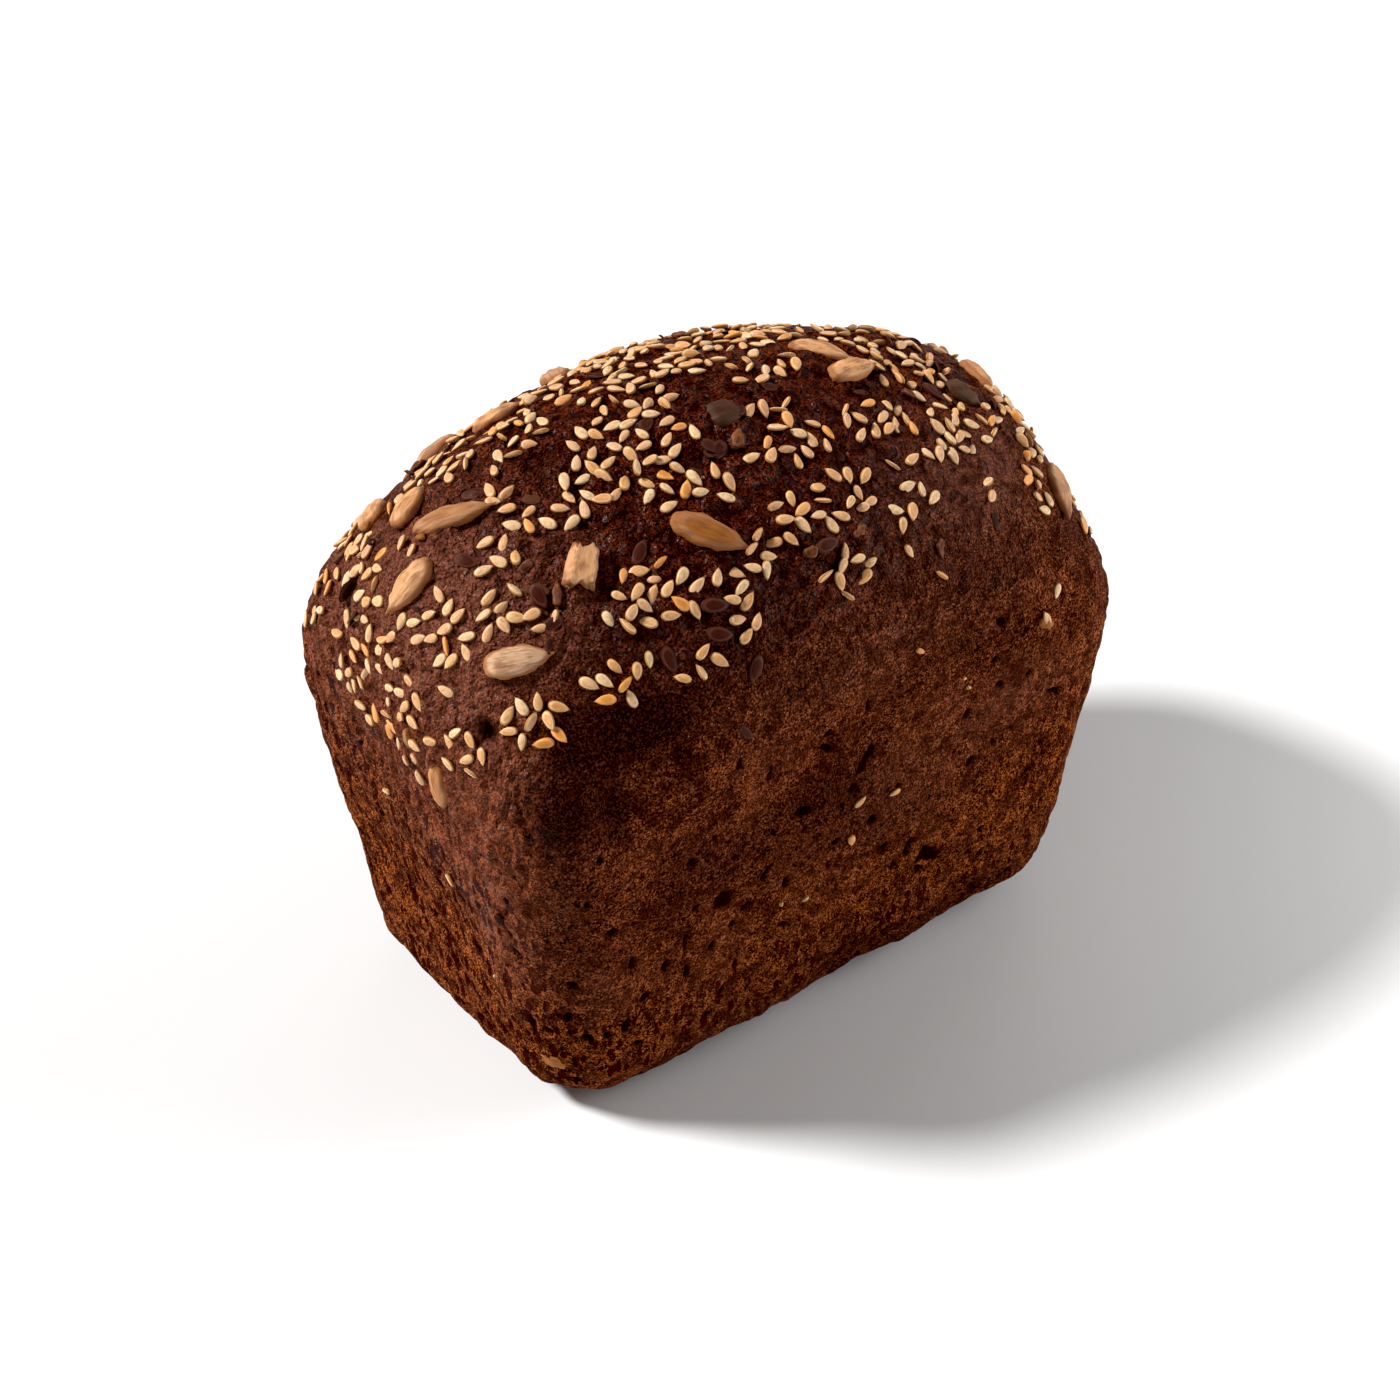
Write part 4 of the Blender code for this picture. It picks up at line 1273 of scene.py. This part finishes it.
# Single sesame seeds and crumbs on the shoulders and walls: place (mm), size.
STRAYS: Rows = (
    (-57, -13, 80, 1.0), (17, -35, 81, 0.9), (0, -36, 38, 0.9), (1, -37, 46, 0.95),
    (8, -36, 44, 0.8), (11, -38, 71, 0.6), (37, -37, 65, 1.0), (41, -36, 68, 0.8),
    (-60, 6, 50, 0.8), (-58, -12, 44, 0.8), (13, -33, 86, 0.9), (-13, -35, 31, 0.38),
    (-8, -35, 29, 0.42), (21, -38, 61, 0.36), (22, -38, 59, 0.30), (-55, -20, 30, 0.26),
    (20, 38, 60, 1.0), (-30, 37, 50, 0.9), (60, 8, 52, 1.0), (6, 37, 34, 0.4),
)
# Sunflower kernels: blunt end, pointed end, width (mm), share sunk, tone. The broken one is apart.
KERNELS: Rows = (
    (-52, -17, 84, -44, -22, 86, 4.6, 0.36, 0.05), (-50, -1, 93, -57, 1, 86, 4.4, 0.34, 0.11),
    (-49, 6, 94, -40, -2, 99, 3.8, 0.34, 0.60), (-50, 10, 93, -44, 13, 97, 4.4, 0.30, 0.13),
    (-49, 20, 87, -43, 27, 86, 4.8, 0.46, 0.12), (-30, 19, 97, -22, 18, 100, 4.4, 0.42, 0.26),
    (-14, 20, 101, -12, 26, 98, 5.2, 0.40, 0.45), (-21, -19, 98, -13, -27, 94, 4.6, 0.40, 0.84),
    (17, 2, 104, 25, -4, 102, 4.4, 0.38, 0.25), (17, -8, 102, 27, -6, 100, 4.2, 0.42, 0.26),
    (53, 2, 87, 51, -7, 87, 4.6, 0.46, 0.50), (39, -9, 93, 43, -13, 90, 4.2, 0.50, 0.95),
    (53, -20, 79, 49, -29, 75, 4.6, 0.46, 0.34), (-60, -13, 68, -60, -12, 58, 4.0, 0.56, 0.78),
    (-54, -26, 15, -49, -29, 13, 4.0, 0.84, 0.87), (-7, -9, 105, -1, -10, 105, 5.0, 0.56, 0.99),
    (-28, 27, 91, -36, 31, 86, 4.6, 0.42, 0.30), (8, 31, 90, 15, 27, 93, 4.4, 0.42, 0.22),
    (31, 30, 86, 33, 22, 91, 4.6, 0.42, 0.62), (46, 18, 88, 52, 25, 81, 4.4, 0.42, 0.41),
    (-6, 36, 84, -15, 37, 82, 4.2, 0.46, 0.55),
)
BROKEN_KERNEL: Row = (-36.8, -18.8, 93, -33.1, -15.4, 96, 5.0, 0.26, 0.36)
# Flax seeds: blunt end, pointed end (mm).
FLAX: Rows = (
    (-30, -29, 86, -30, -33, 82), (-23, -29, 89, -19, -30, 88), (-24, -31, 86, -20, -33, 85),
    (-17, -35, 81, -19, -36, 78), (-29, -21, 94, -25, -19, 97), (-42, 4, 98, -39, 1, 100),
    (-48, -3, 94, -46, -7, 94), (-42, -14, 93, -42, -18, 91), (-3, -30, 91, 1, -30, 91),
    (34, -10, 96, 36, -13, 94), (-20, 33, 88, -25, 34, 87), (22, 25, 94, 25, 29, 90),
    (41, 27, 86, 37, 30, 84),
)
# Bits of cracked grain: place (mm), size against the kind's, tone.
GRAINS: Rows = (
    (-41, -12, 94, 1.0, 0.55), (-49, 4, 94, 0.7, 0.90), (-37, 25, 91, 1.1, 0.40),
    (-53, 25, 81, 1.2, 0.60), (-5, -14, 103, 1.3, 0.20), (-4, -30, 91, 1.0, 0.30),
    (19, -33, 84, 1.1, 0.25), (5, -30, 91, 0.9, 0.20), (37, -37, 64, 1.1, 0.90),
    (-39, -17, 91, 1.0, 0.25), (30, -12, 98, 1.0, 0.50), (12, 24, 96, 1.1, 0.40),
    (-34, 20, 94, 1.0, 0.60), (40, 22, 89, 1.0, 0.30),
)
# Flakes of bran that stand up from the crown: place (mm), size against the kind's, lean (degrees).
FLAKES: Rows = (
    (-56.5, 14.7, 82, 1.5, 62), (-57.6, 11.5, 79, 1.1, 40), (36, 1, 97, 1.0, 50),
    (41, -5, 94, 0.8, 65), (24, 9, 101, 0.8, 40), (47, -12, 88, 0.7, 60), (-4, 17, 104, 0.7, 50),
    (-40, 22, 92, 0.8, 55), (-51, 14, 88, 0.7, 60), (10, 26, 96, 0.8, 50),
)


@dataclass
class Topping:
    """Lays the seeds of every kind on the crust, by the solid's own rules."""

    form: LoafForm
    crust: Crust
    clear: list[tuple[np.ndarray, float]] = field(default_factory=list)
    sesame_seed: int = 4200
    drift_spread: float = 1.3
    solid_share: float = 0.28
    scene_share: float = 1.12
    back_share: float = 1.45
    right_share: float = 1.9
    right_from: float = 29.0
    back_from: float = -12.0
    scene_apart: float = 2.1 * MM
    apart: float = 2.3 * MM
    tries: int = 40
    batch: int = 32
    bran_count: int = 70
    # What the flakes', the grain's and the sesame's own numbers are drawn from: millimetres,
    # shares, radians for turns and degrees for leans.
    bran_aim: Row = (34, 24, 78, 40)
    bran_size: Row = (0.5, 1.15)
    bran_wide: Row = (0.6, 1.1)
    bran_sink: Row = (0.30, 0.55)
    bran_turn: float = 6.28
    bran_lean: float = 6.0
    flake_turn: float = 60
    flake_lean: float = 10.0
    flake_sink: float = -0.6
    flake_tone: float = 0.7
    grain_long: Row = (0.85, 1.2)
    grain_wide: Row = (0.6, 0.95)
    sesame_size: Row = (0.86, 1.12)
    sesame_wide: Row = (0.90, 1.08)
    sesame_thick: Row = (0.85, 1.15)
    sesame_sink: Row = (0.02, 0.34)
    sesame_tilt: tuple[float, float] = (11.0, 8.0)
    flax_tone: float = 0.3
    edge_on_share: float = 0.16
    edge_on_lean: float = 50.0
    seed_clearance: float = 0.42
    end_wall_slope: float = 0.7
    stray_turn: float = 2.4
    far_from: tuple[float, float] = (-53.0, -13.5)

    def laid(self, kind: SeedKind, middle: np.ndarray, heading: np.ndarray, size: Place,
             tone: float, sink: float | None = None,
             tilt: tuple[float, float] = (0.0, 0.0)) -> Lie:
        """Lay one seed on the crust.

        Args:
            kind: The kind of seed.
            middle: The place under its middle, in metres.
            heading: The way its tip points.
            size: Its size against its kind's.
            tone: Its place between the kind's pale and toasted colours.
            sink: The share of it that is sunk, or the kind's own.
            tilt: Its lean about its long and short axes, in degrees.

        Returns:
            How it lies.
        """
        point, up = self.crust.surface(middle)
        along = Vector(heading)
        along = (along - up * along.dot(up)).normalized()
        turn = Matrix((along, up.cross(along), up)).transposed()
        long_lean, short_lean = (Matrix.Rotation(math.radians(angle), 3, axis)
                                 for angle, axis in zip(tilt, "XY"))
        _, _, thickness, own_sink = kind.value
        lift = thickness * MM * size[2] * (0.5 - (own_sink if sink is None else sink))
        return Lie(point + up * lift, turn @ (long_lean @ short_lean), size, tone)

    def spanning(self, kind: SeedKind, row: Row) -> Lie:
        """Lay a seed from one place to another.

        Args:
            kind: The kind of seed.
            row: Its blunt end and its tip and, unless it is of its kind's own size, its width
                (all in mm), the share of it that is sunk, and its tone.

        Returns:
            How it lies.
        """
        blunt, tip = np.array(row[:3], float), np.array(row[3:6], float)
        middle = self.form.crust_points([(blunt + tip) / 2])[0]
        long, wide = kind.value[:2]
        width, sink, tone = row[6:] or (wide, None, self.flax_tone)
        length = float(np.linalg.norm(tip - blunt)) if row[6:] else long
        self.clear.append((middle, length * MM * self.seed_clearance))
        return self.laid(kind, middle, tip - blunt, (length / long, width / wide, 1.0), tone, sink)

    def grains(self) -> list[Lie]:
        """Lay the bits of cracked grain.

        Returns:
            How they lie.
        """
        rng = random.Random(self.sesame_seed - 1)
        lies = []
        for *place, size, tone in GRAINS:
            turn = rng.uniform(0, TURN)
            middle = self.form.crust_points([place])[0]
            self.clear.append((middle, size * SeedKind.GRAIN.value[0] * MM * self.seed_clearance))
            shape = (size * rng.uniform(*self.grain_long),
                     size * rng.uniform(*self.grain_wide), size)
            lies.append(self.laid(SeedKind.GRAIN, middle, self.heading(middle, turn), shape, tone))
        return lies

    def bran(self) -> list[Lie]:
        """Scatter flakes of bran over the top crust, sunk nearly flush, and stand a few up.

        Returns:
            How they lie.
        """
        rng = random.Random(self.sesame_seed - 3)
        long, wide, low, tall = self.bran_aim
        lies = []
        for _ in range(self.bran_count):
            aim = (rng.gauss(0, long), rng.gauss(0, wide), low + rng.random() * tall)
            middle = self.form.crust_points([aim])[0]
            size = rng.uniform(*self.bran_size)
            heading = self.heading(middle, rng.uniform(0, self.bran_turn))
            shape = (size, size * rng.uniform(*self.bran_wide), 1.0)
            tone, sink = rng.random(), rng.uniform(*self.bran_sink)
            tilt = (rng.gauss(0, self.bran_lean), rng.gauss(0, self.bran_lean))
            lies.append(self.laid(SeedKind.BRAN, middle, heading, shape, tone, sink, tilt))
        for *place, size, lean in FLAKES:
            middle = self.form.crust_points([place])[0]
            heading = self.heading(middle, lean / self.flake_turn)
            lies.append(self.laid(SeedKind.BRAN, middle, heading, (size, size, 1.0),
                                  self.flake_tone, self.flake_sink, (lean, self.flake_lean)))
        return lies

    def heading(self, middle: np.ndarray, turn: float) -> np.ndarray:
        """Find the way that a turn points on the crust, from X, or from Y on an end.

        Args:
            middle: A point on the crust.
            turn: The turn, in radians.

        Returns:
            The way it points.
        """
        up = self.form.normals(middle[None])[0]
        level = np.array((0.0, 1.0, 0.0) if abs(up[0]) > self.end_wall_slope else (1.0, 0.0, 0.0))
        return level * math.cos(turn) + np.cross(up, level) * math.sin(turn)

    def drifts(self) -> list[Row]:
        """List every drift, the near ones and those turned half round onto the far sides."""
        return [*DRIFTS, *((-x, -y, *rest) for x, y, *rest in DRIFTS
                           if x < self.far_from[0] or y < self.far_from[1])]

    def darts(self, drift: Row, rng: random.Random) -> Iterator[tuple[np.ndarray, float]]:
        """Throw darts into a drift, a few dozen at a time.

        Args:
            drift: The drift.
            rng: Its own row of random numbers.

        Yields:
            The place on the crust and the turn of each dart.
        """
        while True:
            aims, turns = [], []
            for _ in range(self.batch):
                dart = np.array([rng.gauss(0.0, 1.0) for _ in range(3)])
                dart *= self.drift_spread * rng.random() ** (1 / 3) / np.linalg.norm(dart)
                aims.append(np.array(drift[:3]) + dart * np.array(drift[3:6]))
                turns.append(rng.uniform(0, TURN))
            yield from zip(self.form.crust_points(aims), turns)

    def throw(self, darts: Iterator[tuple[np.ndarray, float]], wanted: int,
              apart: float) -> list[tuple[np.ndarray, float]]:
        """Throw seeds until enough have landed clear of the others.

        Args:
            darts: The places and turns to try, in order.
            wanted: How many seeds are to land.
            apart: How far apart their middles are to be.

        Returns:
            The places and turns of those that landed.
        """
        landed = []
        half = apart / 2
        for _, (place, turn) in zip(range(wanted * self.tries), darts):
            if len(landed) == wanted:
                break
            if all(np.linalg.norm(place - other) > gap + half for other, gap in self.clear):
                self.clear.append((place, half))
                landed.append((place, turn))
        return landed

    def sesame(self) -> list[Lie]:
        """Lay the sesame: the solid's own seeds first, then the rest of each drift.

        Returns:
            How the seeds lie.
        """
        drifts = self.drifts()
        rows = [self.darts(drift, random.Random(self.sesame_seed + number))
                for number, drift in enumerate(drifts)]
        firsts = [max(1, round(drift[6] * self.solid_share)) for drift in drifts]
        places = []
        for row, first in zip(rows, firsts):
            places += [(*dart, 1.0) for dart in self.throw(row, first, self.apart)]
        for number, (*place, size) in enumerate(STRAYS):
            places.append((self.form.crust_points([place])[0], number * self.stray_turn, size))
        for drift, row, first in zip(drifts, rows, firsts):
            share = self.back_share if drift[1] > self.back_from else self.scene_share
            share = self.right_share if drift[0] > self.right_from else share
            wanted = round(drift[6] * share) - first
            places += [(*dart, 1.0) for dart in self.throw(row, wanted, self.scene_apart)]
        looks = random.Random(self.sesame_seed - 2)
        lies = []
        for middle, turn, own in places:
            size = own * looks.uniform(*self.sesame_size)
            shape = (size, size * looks.uniform(*self.sesame_wide),
                     looks.uniform(*self.sesame_thick))
            lean = self.edge_on_lean if looks.random() < self.edge_on_share else 0.0
            tilt = (looks.gauss(lean, self.sesame_tilt[0]), looks.gauss(0.0, self.sesame_tilt[1]))
            tone, sink = looks.random(), looks.uniform(*self.sesame_sink)
            lies.append(self.laid(SeedKind.SESAME, middle, self.heading(middle, turn), shape, tone,
                                  sink, tilt))
        return lies


@dataclass
class BrokenKernel:
    """A sunflower kernel broken short: a fluted block with a jagged end."""

    lie: Lie
    around: int = 60
    rings: int = 16
    flutes: int = 5
    flute_depth: float = 0.24
    flute_power: float = 0.6
    squareness: float = 0.72
    taper: float = 0.10
    belly: float = 0.08
    jag: float = 1.1 * MM
    jag_wave: float = 2.2
    jag_power: int = 3
    inset: float = 0.80
    along_reach: float = 0.85
    side_reach: float = 0.5
    cap_along: float = 0.9
    cap_side: float = 0.3
    rough_lumps: Rows = ((1.1, 3.0, 1.0),)
    rough_height: Place = (0.0, 0.12, 0.12)

    def build(self) -> bpy.types.Object:
        """Make the block.

        Returns:
            The block as an object, with the finish's numbers stored on its points.
        """
        half = np.array(SeedKind.SUNFLOWER.value[:3]) * np.array(self.lie.size) * MM / 2
        angle = np.arange(self.around) / self.around * TURN
        groove = np.abs(np.sin(angle * self.flutes / 2)) ** self.flute_power
        flute = 1.0 - self.flute_depth * groove
        cross_y, cross_z = (np.sign(wave) * np.abs(wave) ** self.squareness * flute
                            for wave in (np.cos(angle), np.sin(angle)))
        section = np.stack((cross_y, cross_z, cross_y * 0), axis=-1) * self.jag_wave
        points, alongs, sides = [], [], []
        for share in np.arange(self.rings + 1) / self.rings * 2.0 - 1.0:
            swell = 1.0 - self.taper * share - self.belly * share * share
            ragged = noise_at(section, 1.0, share) * self.jag * abs(share) ** self.jag_power
            x = share * half[0] + ragged
            points.append(np.stack((x, cross_y * half[1] * swell, cross_z * half[2] * swell),
                                   axis=-1))
            alongs += [share * self.along_reach] * self.around
            sides += list(cross_y * self.side_reach)
        for end, ring in ((-1, points[0]), (1, points[-1])):
            points.append((ring.mean(axis=0) * np.array((self.inset, 1.0, 1.0)))[None])
            alongs.append(end * self.cap_along)
            sides.append(self.cap_side)
        local = np.concatenate(points)
        local += lumps_at(local, self.rough_lumps)[:, None] * np.array(self.rough_height) * MM
        first, last, top_ring = len(local) - 2, len(local) - 1, self.rings * self.around
        faces = []
        for ring in range(0, top_ring, self.around):
            for step in range(self.around):
                a, b = ring + step, ring + (step + 1) % self.around
                faces.append((a, b, b + self.around, a + self.around))
        for step in range(self.around):
            after = (step + 1) % self.around
            faces += [(after, step, first), (top_ring + step, top_ring + after, last)]
        mesh = meshed("broken_kernel", [self.lie.turn @ Vector(point) + self.lie.middle
                                        for point in local], faces)
        for name, values in (("along", alongs), ("side", sides),
                             ("tone", [self.lie.tone] * len(local))):
            store(mesh, name, values)
        mesh.materials.append(KERNEL_FINISH.material())
        return stand("broken_kernel", mesh)


# ------------------------------------------------------------------ floor, light, camera


@dataclass(frozen=True)
class Lamp:
    """A soft light: where it comes from, its strength, and its spread (degrees) or its size."""

    name: str
    source: Place
    strength: float
    spread: float = 0.0
    size: float = 0.0

    def build(self) -> None:
        """Hang the light: far off, or near and out of sight where it has a size."""
        data = bpy.data.lights.new(self.name, "AREA" if self.size else "SUN")
        data.energy = self.strength
        if self.size:
            data.size = self.size
        else:
            data.angle = math.radians(self.spread)
        lamp = stand(self.name, data)
        lamp.location = self.source
        lamp.rotation_euler = Vector(self.source).to_track_quat("Z", "Y").to_euler()
        lamp.visible_camera = not self.size


@dataclass(frozen=True)
class Studio:
    """A pale floor under soft lights, the main one from the camera's left."""

    floor_half: float = 4.0
    floor_colour: Colour = (0.90, 0.895, 0.89)
    floor_vary: float = 0.985
    floor_cloud: Row = (60 * MM, 3.0, 0.6)
    floor_grain: Row = (2 * MM, 3.0, 0.6)
    floor_depth: float = 0.02 * MM
    floor_strength: float = 0.2
    floor_roughness: float = 0.8
    floor_level: float = 0.2
    lamps: tuple[Lamp, ...] = (
        Lamp("key", (-0.56, 0.44, 0.70), 4.3, spread=12.0),
        Lamp("fill", (0.84, -0.36, 0.40), 0.95, spread=50.0),
        Lamp("rim", (0.70, 0.50, 0.45), 0.30, spread=40.0),
        Lamp("side", (190 * MM, -150 * MM, 100 * MM), 0.18, size=120 * MM),
    )
    sky_strength: float = 0.12
    black_level: float = 0.0024

    def floor(self) -> None:
        """Make the floor."""
        half = self.floor_half
        corners = [(-half, -half, 0), (half, -half, 0), (half, half, 0), (-half, half, 0)]
        mesh = meshed("floor", corners, [(0, 1, 2, 3)])
        s = Shading("pale_floor")
        mesh.materials.append(s.finish({
            "Base Color": s.mix(s.noise(*self.floor_cloud), self.floor_colour,
                                tuple(part * self.floor_vary for part in self.floor_colour)),
            "Roughness": self.floor_roughness, "Specular IOR Level": self.floor_level,
            "Normal": s.bump(s.noise(*self.floor_grain), self.floor_depth,
                             strength=self.floor_strength)}))
        stand("floor", mesh)

    def build(self) -> None:
        """Set up the floor, the lamps, the even light all round and the view's black level."""
        self.floor()
        for lamp in self.lamps:
            lamp.build()
        world = bpy.data.worlds.new("studio")
        bpy.context.scene.world = world
        world.use_nodes = True
        background = world.node_tree.nodes["Background"]
        background.inputs["Color"].default_value = (1.0, 1.0, 1.0, 1.0)
        background.inputs["Strength"].default_value = self.sky_strength
        view = bpy.context.scene.view_settings
        view.view_transform = "Standard"
        view.use_curve_mapping = True
        view.curve_mapping.black_level = (self.black_level,) * 3
        view.curve_mapping.update()


@dataclass(frozen=True)
class Viewpoint:
    """The photograph's viewpoint: its angles in degrees, distance and lens."""

    azimuth: float = -35.41
    elevation: float = 37.83
    roll: float = -1.25
    distance: float = 443.8 * MM
    focal_pixels: float = 2719.0
    frame_pixels: float = 1400.0
    sensor: float = 36.0
    near: float = 10 * MM
    aim: Place = (-2.8 * MM, 0.0, 44.8 * MM)

    def build(self) -> None:
        """Set up the camera as the scene's own."""
        azimuth, elevation, roll = (
            math.radians(angle) for angle in (self.azimuth, self.elevation, self.roll))
        back = Vector((math.sin(azimuth) * math.cos(elevation),
                       -math.cos(azimuth) * math.cos(elevation), math.sin(elevation)))
        level = Vector((math.cos(azimuth), math.sin(azimuth), 0.0))
        upright = back.cross(level)
        right = level * math.cos(roll) + upright * math.sin(roll)
        up = upright * math.cos(roll) - level * math.sin(roll)
        data = bpy.data.cameras.new("camera")
        data.sensor_width = self.sensor
        data.lens = self.focal_pixels / self.frame_pixels * self.sensor
        data.clip_start = self.near
        camera = stand("camera", data)
        camera.matrix_world = Matrix.LocRotScale(
            Vector(self.aim) + back * self.distance, Matrix((right, up, back)).transposed(), None)
        bpy.context.scene.camera = camera


def place_piece(piece: bpy.types.Object, slot: str) -> None:
    """Give a piece its body, and log its number of triangles.

    Args:
        piece: The piece's object.
        slot: Its material slot, which is not used.
    """
    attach(piece, "root")
    piece.data.calc_loop_triangles()
    LOG.info("%s: %d triangles", piece.name, len(piece.data.loop_triangles))


def main() -> None:
    """Build the loaf's pieces in order, then the studio and the camera."""
    logging.basicConfig(level=logging.INFO, format="%(name)s %(message)s")
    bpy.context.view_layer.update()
    Viewpoint().build()
    Studio().build()

    form = LoafForm()
    crust_maker = Crust(form)
    crust = crust_maker.build()
    place_piece(crust, "crust")
    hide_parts("loaf")

    topping = Topping(form, crust_maker)
    broken = BrokenKernel(topping.spanning(SeedKind.SUNFLOWER, BROKEN_KERNEL))
    batches = (
        SeedBatch("sunflower_kernels", "sunflower", SeedKind.SUNFLOWER,
                  SeedTree("kernel_tree", 28, 20, 0.20, 0.94, 0.12, 1.7 * MM, nipple=0.16,
                           ribs=0.05), KERNEL_FINISH, 1.1 * MM,
                  [topping.spanning(SeedKind.SUNFLOWER, row) for row in KERNELS]),
        SeedBatch("flax_seeds", "flax", SeedKind.FLAX,
                  SeedTree("flax_tree", 14, 10, 0.22, 0.9, 0.15, 2.0 * MM), FLAX_FINISH,
                  0.25 * MM, [topping.spanning(SeedKind.FLAX, row) for row in FLAX]),
        SeedBatch("cracked_grain", "flax", SeedKind.GRAIN,
                  SeedTree("grain_tree", 12, 9, 0.10, 0.2, 0.0, 1.0 * MM), GRAIN_FINISH,
                  2.2 * MM, topping.grains()),
        SeedBatch("bran_flakes", "flax", SeedKind.BRAN,
                  SeedTree("bran_tree", 10, 6, 0.05, 0.3, 0.3, 1.3 * MM), BRAN_FINISH,
                  1.2 * MM, topping.bran()),
        SeedBatch("sesame_seeds", "sesame", SeedKind.SESAME,
                  SeedTree("sesame_tree", 10, 8, 0.27, 0.92, 0.25, 1.2 * MM, nipple=0.06),
                  SESAME_FINISH, 0.25 * MM, topping.sesame()),
    )
    place_piece(broken.build(), "sunflower")
    for batch in batches:
        place_piece(batch.build(), batch.slot)


if __name__ == "__main__":
    main()
